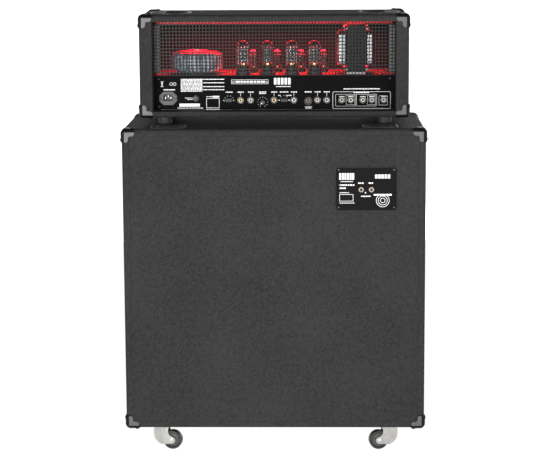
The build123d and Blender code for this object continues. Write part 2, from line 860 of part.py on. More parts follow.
# ---------------------------------------------------------------- ventilation grilles
grille_low = chassis_top + fit_gap
grille_high = bay_top - fit_gap
grille_half = bay_width / 2 - fit_gap
with BuildPart() as rear_grille:
    block(
        (-grille_half, grille_half), (rear_grille_face - sheet, rear_grille_face), (grille_low, grille_high),
    )
    block((-grille_half, grille_half), (chassis_back, rear_grille_face), (grille_low, grille_low + sheet))
save(rear_grille, "rear_grille")

with BuildPart() as front_grille:
    block((-grille_half, grille_half), (front_face, front_face + sheet), (grille_low, grille_high))
save(front_grille, "front_grille")

# ---------------------------------------------------------------- front panel of the head
knob_x = [knob_middle + (index - (knob_count - 1) / 2) * knob_pitch for index in range(knob_count)]
with BuildPart() as front_panel:
    with BuildSketch(at_y(front_face + panel_sheet)):
        with Locations((0, bay_bottom + panel_height / 2)):
            Rectangle(bay_width - 2 * fit_gap, panel_height - 2 * fit_gap)
        with Locations(*[(x, front_z) for x in knob_x]):
            Circle(spindle_radius + running_gap, mode=Mode.SUBTRACT)
        with Locations((front_jack_x, front_z)):
            Circle(jack_bush_radius + fit_gap / 2, mode=Mode.SUBTRACT)
        with Locations((toggle_x, front_z)):
            Circle(toggle_bush_radius + fit_gap / 2, mode=Mode.SUBTRACT)
        with Locations((lamp_x, front_z)):
            Circle(lamp_radius - 1, mode=Mode.SUBTRACT)
        with Locations(*[(x, front_z) for x in rocker_x]):
            Rectangle(
                rocker_width + 2 * rocker_clearance + 2 * sheet + fit_gap,
                rocker_height + 2 * rocker_clearance + 2 * sheet + fit_gap,
                mode=Mode.SUBTRACT,
            )
    extrude(amount=panel_sheet)
save(front_panel, "front_panel")

# ---------------------------------------------------------------- transformers
with BuildPart() as mains_transformer:
    rod_z(toroid_radius, toroid_x, iron_y, (chassis_top + toroid_pad, chassis_top + toroid_pad + toroid_height))
    fillet(mains_transformer.edges().filter_by(GeomType.CIRCLE), toroid_height / 4)
    rod_z(toroid_pad_radius, toroid_x, iron_y, (chassis_top, chassis_top + toroid_pad))
    rod_z(
        toroid_cap_radius, toroid_x, iron_y,
        (chassis_top + toroid_pad + toroid_height, chassis_top + toroid_pad + toroid_height + toroid_cap),
    )
    rod_z(
        toroid_hole / 2, toroid_x, iron_y,
        (chassis_top + toroid_pad + toroid_height, chassis_top + toroid_pad + toroid_height + 2 * toroid_cap),
    )
save(mains_transformer, "mains_transformer")

core_low = chassis_top + core_stand
core_height = bay_top - core_headroom - core_low
core_mid = core_low + core_height / 2
bell_height = core_height - 2 * bell_inset
with BuildPart() as output_transformer:
    x_low = output_transformer_x - core_width / 2
    x_high = output_transformer_x + core_width / 2
    block((x_low, x_high), (iron_y - core_depth / 2, iron_y + core_depth / 2), (core_low, core_low + core_height))
    for near, far in ((x_high, x_high + bell_inboard), (x_low - bell_outboard, x_low)):
        block((near, far), (iron_y - bell_depth / 2, iron_y + bell_depth / 2),
              (core_mid - bell_height / 2, core_mid + bell_height / 2))
    block((x_low, x_high), (iron_y - core_depth / 4, iron_y + core_depth / 4), (chassis_top, core_low))
save(output_transformer, "output_transformer")

# ---------------------------------------------------------------- valves and their sockets
preamp_valve_x = [x + preamp_valve_offset for x in power_valve_x]
with BuildPart() as valve_sockets:
    for x in power_valve_x:
        rod_z(power_socket_radius, x, power_valve_y, (chassis_top, chassis_top + socket_height))
    for x in preamp_valve_x:
        rod_z(preamp_socket_radius, x, preamp_valve_y, (chassis_top, chassis_top + socket_height))
save(valve_sockets, "valve_sockets")

glass_low = chassis_top + socket_height
with BuildPart() as valves:
    for x in power_valve_x:
        with Locations((x, power_valve_y, glass_low)):
            Cylinder(
                power_valve_radius, power_valve_height, align=(Align.CENTER, Align.CENTER, Align.MIN),
            )
    for x in preamp_valve_x:
        with Locations((x, preamp_valve_y, glass_low)):
            Cylinder(
                preamp_valve_radius, preamp_valve_height, align=(Align.CENTER, Align.CENTER, Align.MIN),
            )
    tops = valves.faces().filter_by(Axis.Z).sort_by(Axis.Z)
    domes = [face for face in tops if face.center().Z > glass_low + 1]
    for face in domes:
        fillet(face.edges(), min(preamp_valve_radius, power_valve_radius) * 0.8)
save(valves, "valves")

# ---------------------------------------------------------------- lights and circuit board
with BuildPart() as led_strip:
    strip_y = head_back - led_strip_set_back
    block(
        (-led_strip_length / 2, led_strip_length / 2),
        (strip_y - led_strip_width / 2, strip_y + led_strip_width / 2),
        (bay_top - led_strip_thickness, bay_top),
    )
save(led_strip, "led_strip")

board_y = (chassis_front + chassis_back) / 2
board_top = bay_bottom + board_lift + board_thickness
with BuildPart() as circuit_board:
    block(
        (-board_length / 2, board_length / 2),
        (board_y - board_width / 2, board_y + board_width / 2),
        (board_top - board_thickness, board_top),
    )
    for index in range(capacitor_count):
        x = (index - (capacitor_count - 1) / 2) * capacitor_pitch
        rod_z(capacitor_radius, x, board_y, (board_top, board_top + capacitor_height))
save(circuit_board, "circuit_board")

# ---------------------------------------------------------------- jacks along the rear panel
with BuildPart() as rear_jacks:
    for x in rear_jack_x:
        jack(x, jack_z, rear_face, 1, jack_ring_radius, panel_sheet)
save(rear_jacks, "rear_jacks")

# ---------------------------------------------------------------- mains inlet
with BuildPart() as mains_inlet:
    with BuildSketch(at_y(rear_face + inlet_bezel)):
        with Locations((inlet_x, inlet_z)):
            bezel = Rectangle(inlet_width, inlet_height)
        chamfer(bezel.vertices(), inlet_chamfer)
    extrude(amount=inlet_bezel)
    block(
        (inlet_x - inlet_body_width / 2, inlet_x + inlet_body_width / 2),
        (rear_face - inlet_body_depth, rear_face),
        (inlet_z - inlet_body_height / 2, inlet_z + inlet_body_height / 2),
    )
    block(
        (inlet_x - inlet_socket_width / 2, inlet_x + inlet_socket_width / 2),
        (rear_face + inlet_bezel - inlet_socket_depth, rear_face + inlet_bezel),
        (inlet_z + inlet_socket_lift - inlet_socket_height / 2,
         inlet_z + inlet_socket_lift + inlet_socket_height / 2),
        Mode.SUBTRACT,
    )
save(mains_inlet, "mains_inlet")

# ---------------------------------------------------------------- fuse holder, footswitch socket, switch bodies
slot_length = slider_width + slider_travel + 2 * slider_gap
with BuildPart() as rear_fittings:
    rod_y(fuse_cap_radius, fuse_x, fuse_z, (rear_face, rear_face + fuse_cap_length))
    rod_y(fuse_body_radius, fuse_x, fuse_z, (rear_face - fuse_body_length, rear_face))
    rod_y(footswitch_ring, footswitch_x, footswitch_z, (rear_face, rear_face + panel_sheet))
    rod_y(footswitch_body, footswitch_x, footswitch_z, (rear_face - 2 * footswitch_depth, rear_face))
    rod_y(
        footswitch_hole, footswitch_x, footswitch_z,
        (rear_face + panel_sheet - footswitch_depth, rear_face + panel_sheet), Mode.SUBTRACT,
    )
    for x in rear_switch_x:
        block(
            (x - switch_bezel_width / 2, x + switch_bezel_width / 2),
            (rear_face, rear_face + switch_bezel_thickness),
            (jack_z - switch_bezel_height / 2, jack_z + switch_bezel_height / 2),
        )
        block(
            (x - switch_body_width / 2, x + switch_body_width / 2),
            (rear_face - switch_body_depth, rear_face),
            (jack_z - switch_bezel_height / 2 + 0.5, jack_z + switch_bezel_height / 2 - 0.5),
        )
        block(
            (x - slot_length / 2, x + slot_length / 2),
            (rear_face - slider_rise, rear_face + switch_bezel_thickness),
            (jack_z - switch_slot_height / 2, jack_z + switch_slot_height / 2),
            Mode.SUBTRACT,
        )
save(rear_fittings, "rear_fittings")

for number, x in enumerate(rear_switch_x, start=1):
    with BuildPart() as rear_slider:
        block(
            (x - slot_length / 2 + slider_gap, x - slot_length / 2 + slider_gap + slider_width),
            (rear_face - slider_rise + slider_gap, rear_face + switch_bezel_thickness + slider_rise),
            (jack_z - switch_slot_height / 2 + slider_gap, jack_z + switch_slot_height / 2 - slider_gap),
        )
    save(rear_slider, f"rear_slider_{number}")


def knob(x, z, face, outward, radius, length):
    """A knob with a rounded cap on its spindle, which passes through the panel."""
    near, far = sorted((face + outward * knob_gap, face + outward * (knob_gap + length)))
    with BuildPart() as piece:
        rod_y(radius, x, z, (near, far))
        caps = piece.edges().filter_by(GeomType.CIRCLE).sort_by(Axis.Y)
        fillet(caps[-1] if outward > 0 else caps[0], radius / 8)
        rod_y(spindle_radius, x, z, sorted((face - outward * spindle_length, face + outward * knob_gap)))
    return piece


save(knob(rear_knob_x, rear_knob_z, rear_face, 1, rear_knob_radius, rear_knob_length), "rear_level_knob")
for number, x in enumerate(knob_x, start=1):
    save(knob(x, front_z, front_face, -1, knob_radius, knob_length), f"front_knob_{number}")

# ---------------------------------------------------------------- fixed fittings of the front panel
rocker_hole_width = rocker_width + 2 * rocker_clearance
rocker_hole_height = rocker_height + 2 * rocker_clearance
pot_front = front_face + spindle_length + fit_gap
with BuildPart() as front_fittings:
    jack(front_jack_x, front_z, front_face, -1, jack_ring_radius, panel_sheet)
    rod_y(lamp_radius, lamp_x, front_z, (front_face - lamp_rise, front_face))
    rod_y(lamp_radius - 1 - fit_gap, lamp_x, front_z, (front_face, front_face + pot_length))
    for x in knob_x:
        rod_y(pot_radius, x, front_z, (pot_front, pot_front + pot_length))
    for x in rocker_x:
        block(
            (x - rocker_frame_width / 2, x + rocker_frame_width / 2),
            (front_face - rocker_frame_rise, front_face),
            (front_z - rocker_frame_height / 2, front_z + rocker_frame_height / 2),
        )
        block(
            (x - rocker_hole_width / 2 - sheet, x + rocker_hole_width / 2 + sheet),
            (front_face, front_face + rocker_depth + sheet),
            (front_z - rocker_hole_height / 2 - sheet, front_z + rocker_hole_height / 2 + sheet),
        )
        block(
            (x - rocker_hole_width / 2, x + rocker_hole_width / 2),
            (front_face - rocker_frame_rise, front_face + rocker_depth),
            (front_z - rocker_hole_height / 2, front_z + rocker_hole_height / 2),
            Mode.SUBTRACT,
        )
    rod_y(toggle_bush_radius + 2, toggle_x, front_z, (front_face - 2, front_face))
    rod_y(toggle_bush_radius, toggle_x, front_z, (front_face - toggle_bush_length, front_face + panel_sheet))
    half = toggle_body / 2
    block(
        (toggle_x - half, toggle_x + half),
        (front_face + panel_sheet, front_face + panel_sheet + toggle_body),
        (front_z - half, front_z + half),
    )
    rod_y(
        toggle_bore, toggle_x, front_z,
        (front_face - toggle_bush_length, front_face + panel_sheet + toggle_tail + toggle_radius),
        Mode.SUBTRACT,
    )
save(front_fittings, "front_fittings")

# ---------------------------------------------------------------- toggle lever and rockers
toggle_pivot = front_face + panel_sheet
with BuildPart() as channel_toggle:
    with BuildSketch(at_y(toggle_pivot + toggle_tail)):
        with Locations((toggle_x, front_z)):
            Circle(toggle_radius)
    extrude(amount=toggle_tail + toggle_length)
    with Locations((toggle_x, toggle_pivot - toggle_length, front_z)):
        Sphere(toggle_tip_radius)
save(channel_toggle, "channel_toggle")

for name, x in zip(("standby_rocker", "power_rocker"), rocker_x):
    with BuildPart() as rocker:
        with BuildSketch(Plane.YZ.offset(x - rocker_width / 2)):
            with BuildLine():
                crest = front_face - rocker_frame_rise - rocker_rise
                dip = front_face - rocker_frame_rise + 0.5
                top = front_z + rocker_height / 2
                bottom = front_z - rocker_height / 2
                hollow = ThreePointArc((crest, top), (dip, front_z), (crest, bottom))
                keel = front_face + rocker_depth - rocker_clearance
                Polyline(
                    (crest, bottom),
                    (front_face, bottom),
                    (keel, front_z - rocker_height / 6),
                    (keel, front_z + rocker_height / 6),
                    (front_face, top),
                    (crest, top),
                )
            make_face()
        extrude(amount=rocker_width)
    save(rocker, name)
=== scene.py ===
import json
import math

import bmesh
import bpy
import numpy as np
from mathutils import Matrix, Vector


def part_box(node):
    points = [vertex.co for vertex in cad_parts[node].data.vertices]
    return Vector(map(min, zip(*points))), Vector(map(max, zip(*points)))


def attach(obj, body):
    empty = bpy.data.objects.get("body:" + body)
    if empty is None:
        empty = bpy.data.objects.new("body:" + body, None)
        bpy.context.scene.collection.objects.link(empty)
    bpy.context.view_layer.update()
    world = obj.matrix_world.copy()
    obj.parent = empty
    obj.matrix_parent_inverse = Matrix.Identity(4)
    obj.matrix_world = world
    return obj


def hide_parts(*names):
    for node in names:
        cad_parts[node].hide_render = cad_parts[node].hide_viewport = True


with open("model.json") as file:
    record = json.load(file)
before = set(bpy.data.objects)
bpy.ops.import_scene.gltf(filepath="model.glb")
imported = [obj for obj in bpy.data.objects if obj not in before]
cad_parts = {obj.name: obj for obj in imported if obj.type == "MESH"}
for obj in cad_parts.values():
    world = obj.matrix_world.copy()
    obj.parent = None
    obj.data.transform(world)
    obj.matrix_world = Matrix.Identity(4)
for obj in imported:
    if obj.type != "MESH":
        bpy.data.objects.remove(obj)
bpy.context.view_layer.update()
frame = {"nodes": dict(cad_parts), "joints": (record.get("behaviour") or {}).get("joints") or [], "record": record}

MM = 0.001
RECORD = frame["record"]
rng = np.random.default_rng(11)


# ------------------------------------------------------------------ camera, light and floor
def upright_camera(place, yaw, pitch, roll, lens, shift):
    """A camera behind the amplifier that looks along -Y, turned by three small angles in degrees."""
    data = bpy.data.cameras.new("camera")
    data.lens = lens
    data.shift_y = shift
    data.clip_end = 60
    camera = bpy.data.objects.new("camera", data)
    turn = Matrix.Identity(4)
    for angle, axis in ((180 + yaw, "Z"), (90 - pitch, "X"), (roll, "Z")):
        turn = turn @ Matrix.Rotation(math.radians(angle), 4, axis)
    camera.matrix_world = Matrix.Translation(place) @ turn
    bpy.context.scene.collection.objects.link(camera)
    bpy.context.scene.camera = camera


def soft_lamp(name, place, target, size, power, colour=(1, 1, 1)):
    """A square area lamp that faces its target."""
    data = bpy.data.lights.new(name, "AREA")
    data.size = size
    data.energy = power
    data.color = colour
    lamp = bpy.data.objects.new(name, data)
    aim = (Vector(target) - Vector(place)).to_track_quat("-Z", "Y").to_matrix().to_4x4()
    lamp.matrix_world = Matrix.Translation(place) @ aim
    bpy.context.scene.collection.objects.link(lamp)


def red_lamp(name, place, target, size, power):
    """A flat red lamp inside the head, which goes with it."""
    soft_lamp(name, place, target, size[0], power, (1.0, 0.003, 0.01))
    lamp = bpy.data.objects[name]
    lamp.data.shape = "RECTANGLE"
    lamp.data.size_y = size[1]
    lamp.data.spread = math.radians(130)
    lamp.visible_camera = False
    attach(lamp, "head")


upright_camera((-0.0871, 4.4955, 1.3461), 1.120, 8.598, -0.290, 112.55, -35 / 550)


# ------------------------------------------------------------------ shapes worked out with numpy
class Form:
    """Points and faces of one shape, before it becomes a mesh."""

    def __init__(self, points, faces):
        self.points = np.asarray(points, float).reshape(-1, 3)
        self.faces = faces

    def moved(self, offset):
        return Form(self.points + np.asarray(offset, float), self.faces)

    def scaled(self, factors):
        return Form(self.points * np.asarray(factors, float), self.faces)

    def turned(self, angle):
        """The shape turned about its own Z."""
        c, s = math.cos(angle), math.sin(angle)
        return Form(self.points @ np.array([[c, s, 0], [-s, c, 0], [0, 0, 1]]), self.faces)

    def set_on(self, origin, axis, across=None):
        """The shape with its own Z along axis and its own X along across, at origin."""
        w = np.asarray(axis, float) / np.linalg.norm(axis)
        guide = np.array([0, 0, 1.0]) if across is None else np.asarray(across, float)
        if abs(guide @ w) > 0.9:
            guide = np.array([1.0, 0, 0])
        u = guide - (guide @ w) * w
        u /= np.linalg.norm(u)
        return Form(self.points @ np.array([u, np.cross(w, u), w]) + np.asarray(origin, float), self.faces)


def joined(forms):
    """Several shapes as one, their faces renumbered."""
    points, faces, start = [], [], 0
    for form in forms:
        points.append(form.points)
        faces += [np.asarray(face) + start for face in form.faces]
        start += len(form.points)
    return Form(np.vstack(points), faces)


def grid(points, close_u=False, close_v=False):
    """Faces between neighbours on a grid of points with shape (rows, columns, 3)."""
    rows, columns = points.shape[:2]
    u = np.arange(rows if close_u else rows - 1)
    v = np.arange(columns if close_v else columns - 1)
    a, b = np.meshgrid(u, v, indexing="ij")
    c, d = (a + 1) % rows, (b + 1) % columns
    quads = np.stack([a * columns + b, c * columns + b, c * columns + d, a * columns + d], -1)
    return Form(points.reshape(-1, 3), list(quads.reshape(-1, 4)))


def lathe(profile, steps=32, loop=False):
    """A profile of (radius, height) pairs turned about Z: x = r cos a, y = r sin a."""
    profile = np.asarray(profile, float)
    angle = np.linspace(0, 2 * np.pi, steps, endpoint=False)
    r, z = profile[:, :1], profile[:, 1:]
    points = np.stack([r * np.cos(angle), r * np.sin(angle), z + 0 * angle], -1)
    return grid(points, close_u=loop, close_v=True)


def stacked(rings, close_u=False, caps=False):
    """Outlines of (x, y) points joined one above the other, each at its own height."""
    points = np.array([np.column_stack([ring, np.full(len(ring), z)]) for ring, z in rings])
    form = grid(points, close_u, True)
    if caps:
        count = len(rings[0][0])
        form.faces += [np.arange(count)[::-1], np.arange(count) + (len(rings) - 1) * count]
    return form


def rounded_box(low, high, radius, steps=3):
    """A box with rounded edges: every point of a cube is pushed to radius from the nearest core point.

    Rows of the rounded band sit at radius * tan(angle), so they are evenly turned."""
    low, high = np.asarray(low, float), np.asarray(high, float)
    half = (high - low) / 2
    radius = min(radius, *(half * 0.98))
    core = half - radius
    band = radius * np.tan(np.linspace(0, np.pi / 4, steps + 1))
    forms = []
    for axis in range(3):
        one, two = (axis + 1) % 3, (axis + 2) % 3
        lines = [np.concatenate([-core[k] - band[::-1], core[k] + band]) for k in (one, two)]
        a, b = np.meshgrid(*lines, indexing="ij")
        for side in (-1, 1):
            cube = np.zeros(a.shape + (3,))
            cube[..., axis], cube[..., one], cube[..., two] = side * half[axis], a, b
            inner = np.clip(cube, -core, core)
            out = cube - inner
            out *= radius / np.linalg.norm(out, axis=-1, keepdims=True)
            forms.append(grid(inner + out))
    return joined(forms).moved((low + high) / 2)


def prism(outline, low, high, bevel=0.0):
    """A flat convex outline of (x, y) points raised from low to high, its two rims cut in by bevel."""
    outline = np.asarray(outline, float)
    centre = outline.mean(0)
    reach = np.linalg.norm(outline - centre, axis=1, keepdims=True)
    inset = outline + (centre - outline) / reach * bevel
    levels = [(inset, low), (outline, low + bevel), (outline, high - bevel), (inset, high)]
    if not bevel:
        levels = [(outline, low), (outline, high)]
    return stacked(levels, caps=True)


def circle(radius, steps=32, start=0.0):
    """Points of a circle, or of a polygon when there are few steps."""
    angle = start + np.linspace(0, 2 * np.pi, steps, endpoint=False)
    return np.column_stack([radius * np.cos(angle), radius * np.sin(angle)])


def rounded_rectangle(width, height, radius, steps=5):
    """Outline of a rectangle whose corners are quarter circles."""
    turn = np.linspace(0, np.pi / 2, steps + 1)
    corners = []
    for quarter, (sx, sy) in enumerate(((1, 1), (-1, 1), (-1, -1), (1, -1))):
        angle = turn + quarter * np.pi / 2
        corners.append(np.column_stack([
            sx * (width / 2 - radius) + radius * np.cos(angle),
            sy * (height / 2 - radius) + radius * np.sin(angle),
        ]))
    return np.vstack(corners)


def tube(path, radius, steps=10, loop=False):
    """A round bar along a path: its section is turned to stay square to the path at every point."""
    path = np.asarray(path, float)
    if loop:
        along = np.roll(path, -1, 0) - np.roll(path, 1, 0)
    else:
        along = np.gradient(path, axis=0)
    along /= np.linalg.norm(along, axis=1, keepdims=True)
    guide = np.where(np.abs(along[:, 2:]) > 0.9, [[1.0, 0, 0]], [[0, 0, 1.0]])
    u = np.cross(guide, along)
    u /= np.linalg.norm(u, axis=1, keepdims=True)
    v = np.cross(along, u)
    angle = np.linspace(0, 2 * np.pi, steps, endpoint=False)[None, :, None]
    points = path[:, None] + radius * (np.cos(angle) * u[:, None] + np.sin(angle) * v[:, None])
    form = grid(points, close_u=loop, close_v=True)
    if not loop:
        form.faces += [np.arange(steps), np.arange(steps) + (len(path) - 1) * steps]
    return form


def frame_ring(outer, inner, low, high):
    """A flat ring between two outlines with the same number of (x, y) points."""
    outer, inner = np.asarray(outer, float), np.asarray(inner, float)
    return stacked([(outer, low), (outer, high), (inner, high), (inner, low)], close_u=True)


def perforated(width, height, pitch, open_share, thickness):
    """A flat sheet of square holes: each cell has a hole whose side is the root of the open share.

    A cell is one ring of four faces in front, four behind and four walls between."""
    across, up = round(width / pitch), round(height / pitch)
    cell = np.array([width / across, height / up])
    hole = cell * math.sqrt(open_share) / 2
    x = (np.arange(across) - (across - 1) / 2) * cell[0]
    y = (np.arange(up) - (up - 1) / 2) * cell[1]
    centre = np.stack(np.meshgrid(x, y, indexing="ij"), -1).reshape(-1, 1, 2)
    corner = np.array([[-1, -1], [1, -1], [1, 1], [-1, 1]], float)
    rings = np.concatenate([centre + corner * cell / 2, centre + corner * hole], 1)
    front = np.dstack([rings, np.full(rings.shape[:2], thickness / 2)])
    back = np.dstack([rings, np.full(rings.shape[:2], -thickness / 2)])
    points = np.concatenate([front, back], 1)
    start = np.arange(len(points))[:, None] * 16
    faces = []
    for k in range(4):
        m = (k + 1) % 4
        for face in ((k, m, m + 4, k + 4), (k + 8, k + 12, m + 12, m + 8), (k + 4, m + 4, m + 12, k + 12)):
            faces += list(start + np.array([face]))
    sheet = Form(points.reshape(-1, 3), faces)
    w, h, t = width / 2, height / 2, thickness / 2
    xs = np.linspace(-w, w, across + 1)
    ys = np.linspace(-h, h, up + 1)
    border = np.vstack([
        np.column_stack([xs, np.full(across + 1, -h)]),
        np.column_stack([np.full(up, w), ys[1:]]),
        np.column_stack([xs[::-1][1:], np.full(across, h)]),
        np.column_stack([np.full(up - 1, -w), ys[::-1][1:-1]]),
    ])
    return joined([sheet, stacked([(border, -t), (border, t)])])


def screw_head(radius, rise):
    """A domed head whose height falls off as 1 - r squared, with a crossed slot sunk in its middle."""
    share = np.array([0.0, 0.12, 0.24, 0.36, 0.5, 0.62, 0.8, 0.94, 1.0])[:, None]
    angle = np.linspace(0, 2 * np.pi, 32, endpoint=False)[None]
    x, y = share * np.cos(angle), share * np.sin(angle)
    height = rise * (0.35 + 0.65 * (1 - share**2)) + 0 * angle
    slot = (np.minimum(abs(x), abs(y)) < 0.13) & (share < 0.6)
    height = np.where(slot, height - 0.55 * rise, height)
    height[-1] = 0
    form = grid(np.stack([radius * x, radius * y, height], -1), close_v=True)
    form.faces.append(np.arange(32) + 8 * 32)
    return form


# ------------------------------------------------------------------ turning a shape into a piece
def piece(name, form, finish, body, replaces=(), crease=35):
    """A mesh object of this shape, welded, with its faces outwards, riding on a body."""
    mesh = bpy.data.meshes.new(name)
    mesh.from_pydata(form.points.tolist(), [], [list(map(int, face)) for face in form.faces])
    work = bmesh.new()
    work.from_mesh(mesh)
    bmesh.ops.remove_doubles(work, verts=work.verts, dist=2e-6)
    bmesh.ops.dissolve_degenerate(work, edges=work.edges, dist=1e-7)
    bmesh.ops.recalc_face_normals(work, faces=work.faces)
    work.to_mesh(mesh)
    work.free()
    mesh.polygons.foreach_set("use_smooth", np.ones(len(mesh.polygons), bool))
    mesh.set_sharp_from_angle(angle=math.radians(crease))
    mesh.materials.append(finish)
    item = bpy.data.objects.new(name, mesh)
    bpy.context.scene.collection.objects.link(item)
    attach(item, body)
    for node in replaces:
        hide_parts(node)
    return item


# ------------------------------------------------------------------ shader maths
class Wire:
    """An output socket that can stand in a formula: each sum or product adds its node."""

    def __init__(self, finish, socket):
        self.finish, self.socket = finish, socket

    def _do(self, operation, *values):
        return self.finish.node("ShaderNodeMath", {"operation": operation}, *values)

    def __add__(self, other):
        return self._do("ADD", self, other)

    def __sub__(self, other):
        return self._do("SUBTRACT", self, other)

    def __mul__(self, other):
        return self._do("MULTIPLY", self, other)

    def __lt__(self, other):
        return self._do("LESS_THAN", self, other)

    def power(self, other):
        return self._do("POWER", self, other)

    def wave(self):
        return self._do("SINE", self)

    def part(self):
        return self._do("FRACT", self)

    __radd__ = __add__
    __rmul__ = __mul__


class Finish:
    """A material being built: one method adds any node, and the rest are formulas."""

    def __init__(self, name, shader="ShaderNodeBsdfPrincipled", **constants):
        self.material = bpy.data.materials.new(name)
        self.material.use_nodes = True
        self.tree = self.material.node_tree
        self.tree.nodes.clear()
        self.out = self.tree.nodes.new("ShaderNodeOutputMaterial")
        self.shader = self.tree.nodes.new(shader)
        self.tree.links.new(self.shader.outputs[0], self.out.inputs["Surface"])
        for key, value in constants.items():
            self.set(key.replace("_", " "), value)

    def node(self, kind, settings=None, *values, output=0, **named):
        """Adds a node, sets its settings, feeds its sockets and returns one of its outputs."""
        made = self.tree.nodes.new(kind)
        for key, value in (settings or {}).items():
            if key == "stops":
                self._ramp(made, value)
            else:
                setattr(made, key, value)
        for socket, value in zip(made.inputs, values):
            self._feed(socket, value)
        for key, value in named.items():
            self._feed(made.inputs[key.replace("_", " ")], value)
        return Wire(self, made.outputs[output])

    @staticmethod
    def _ramp(made, stops):
        ramp = made.color_ramp
        while len(ramp.elements) < len(stops):
            ramp.elements.new(0.5)
        for element, (place, colour) in zip(ramp.elements, stops):
            element.position = place
            element.color = colour if len(colour) == 4 else (*colour, 1)

    def _feed(self, socket, value):
        if isinstance(value, Wire):
            self.tree.links.new(value.socket, socket)
        elif value is not None:
            if hasattr(value, "__len__") and len(value) == 3 and socket.type == "RGBA":
                value = (*value, 1)
            socket.default_value = value

    def set(self, key, value):
        self._feed(self.shader.inputs[key], value)

    def place(self):
        """Object coordinates, which are the amplifier's own metres."""
        return self.node("ShaderNodeTexCoord", output=3)

    def noise(self, scale, detail=4.0, rough=0.5, vector=None):
        where = self.place() if vector is None else vector
        return self.node(
            "ShaderNodeTexNoise", None, Vector=where, Scale=scale, Detail=detail, Roughness=rough,
        )

    def cells(self, scale, feature="F1", vector=None, randomness=1.0):
        where = self.place() if vector is None else vector
        return self.node(
            "ShaderNodeTexVoronoi", {"feature": feature}, Vector=where, Scale=scale, Randomness=randomness,
        )

    def mix(self, share, one, two):
        made = self.tree.nodes.new("ShaderNodeMix")
        made.data_type = "RGBA"
        for socket, value in ((made.inputs[0], share), (made.inputs[6], one), (made.inputs[7], two)):
            self._feed(socket, value)
        return Wire(self, made.outputs[2])

    def ramp(self, value, stops):
        return self.node("ShaderNodeValToRGB", {"stops": stops}, value)

    def bump(self, height, distance, strength=1.0):
        self.set("Normal", self.node(
            "ShaderNodeBump", None, Strength=strength, Distance=distance, Height=height,
        ))

    def axis(self, index):
        """One of the object coordinates, in metres."""
        return self.node("ShaderNodeSeparateXYZ", None, self.place(), output=index)


def grey(level):
    return (level, level, level)


def vinyl(name, tone, sheen):
    """Grained vinyl: small rounded cells with creases between them and a slower waviness."""
    finish = Finish(name, Specular_IOR_Level=sheen)
    grain = finish.cells(520.0, "DISTANCE_TO_EDGE")
    pores = finish.noise(330.0, 3.0, 0.7)
    drift = finish.noise(6.0, 3.0)
    shade = finish.noise(90.0, 4.0, 0.65)
    level = pores * 0.6 + shade * 0.25 + drift * 0.15
    finish.set("Base Color", finish.ramp(level, [(0.38, grey(tone * 0.6)), (0.62, grey(tone * 1.4))]))
    finish.set("Roughness", 0.45 + shade * 0.2)
    finish.bump(grain * 2.2 + pores * 1.2, 0.0004, 0.6)
    return finish.material


def moulded(name, tone, rough=0.5, grain=0.00006, gloss=0.5):
    """Moulded plastic: a fine spark-eroded grain, a few lighter rubs and uneven gloss."""
    finish = Finish(name, Specular_IOR_Level=gloss)
    fine = finish.noise(2600.0, 2.0)
    rubs = finish.noise(38.0, 5.0, 0.7)
    if isinstance(tone, (int, float)):
        tone = grey(tone)
    worn = tuple(min(1.0, c * 1.5 + 0.004) for c in tone)
    finish.set("Base Color", finish.mix(rubs.power(3.0), tone, worn))
    finish.set("Roughness", rough - 0.12 + rubs * 0.24)
    finish.bump(fine, grain)
    return finish.material


def painted(name, tone, rough=0.4, speckle=0.0, gloss=0.5):
    """Baked enamel on steel: faint orange peel and dust."""
    finish = Finish(name, Specular_IOR_Level=gloss)
    peel = finish.noise(420.0, 2.0)
    dust = finish.noise(60.0, 6.0, 0.75)
    if isinstance(tone, (int, float)):
        tone = grey(tone)
    dusty = tuple(1.6 * c + speckle for c in tone)
    finish.set("Base Color", finish.mix(dust.power(2.0), tone, dusty))
    finish.set("Roughness", rough - 0.1 + dust * 0.2)
    finish.bump(peel, 0.00012, 0.35)
    return finish.material


def plated(name, tone, rough=0.12, stretch=None):
    """Plated metal: drawn-out fine scratches and cloudy polish; the light and dark streaks in its colour are
    partly scratches and partly painted reflection.
    """
    finish = Finish(name, Metallic=1.0)
    where = finish.node("ShaderNodeMapping", None, finish.place(), Scale=stretch or (300.0, 300.0, 40.0))
    lines = finish.noise(3.0, 5.0, 0.6, vector=where)
    cloud = finish.noise(45.0, 4.0)
    # Partly painted reflection: these streaks lighten and darken the metal's colour as mirrored surroundings
    # would.
    scratch_and_reflection_streak = cloud * 0.5 + lines * 0.5
    dark, light = tuple(0.6 * c for c in tone), tuple(min(1.3 * c, 1.0) for c in tone)
    finish.set("Base Color", finish.mix(scratch_and_reflection_streak, dark, light))
    finish.set("Roughness", rough * 0.6 + cloud * rough * 0.8)
    finish.bump(lines, 0.00004, 0.5)
    return finish.material


def glow(name, colour, strength):
    """A lit surface, a little uneven."""
    finish = Finish(name, Roughness=0.4, Emission_Strength=strength)
    cloud = finish.noise(160.0, 3.0)
    finish.set("Base Color", finish.mix(cloud, tuple(0.5 * c for c in colour), colour))
    finish.set("Emission Color", finish.mix(cloud, tuple(0.8 * c for c in colour), colour))
    return finish.material


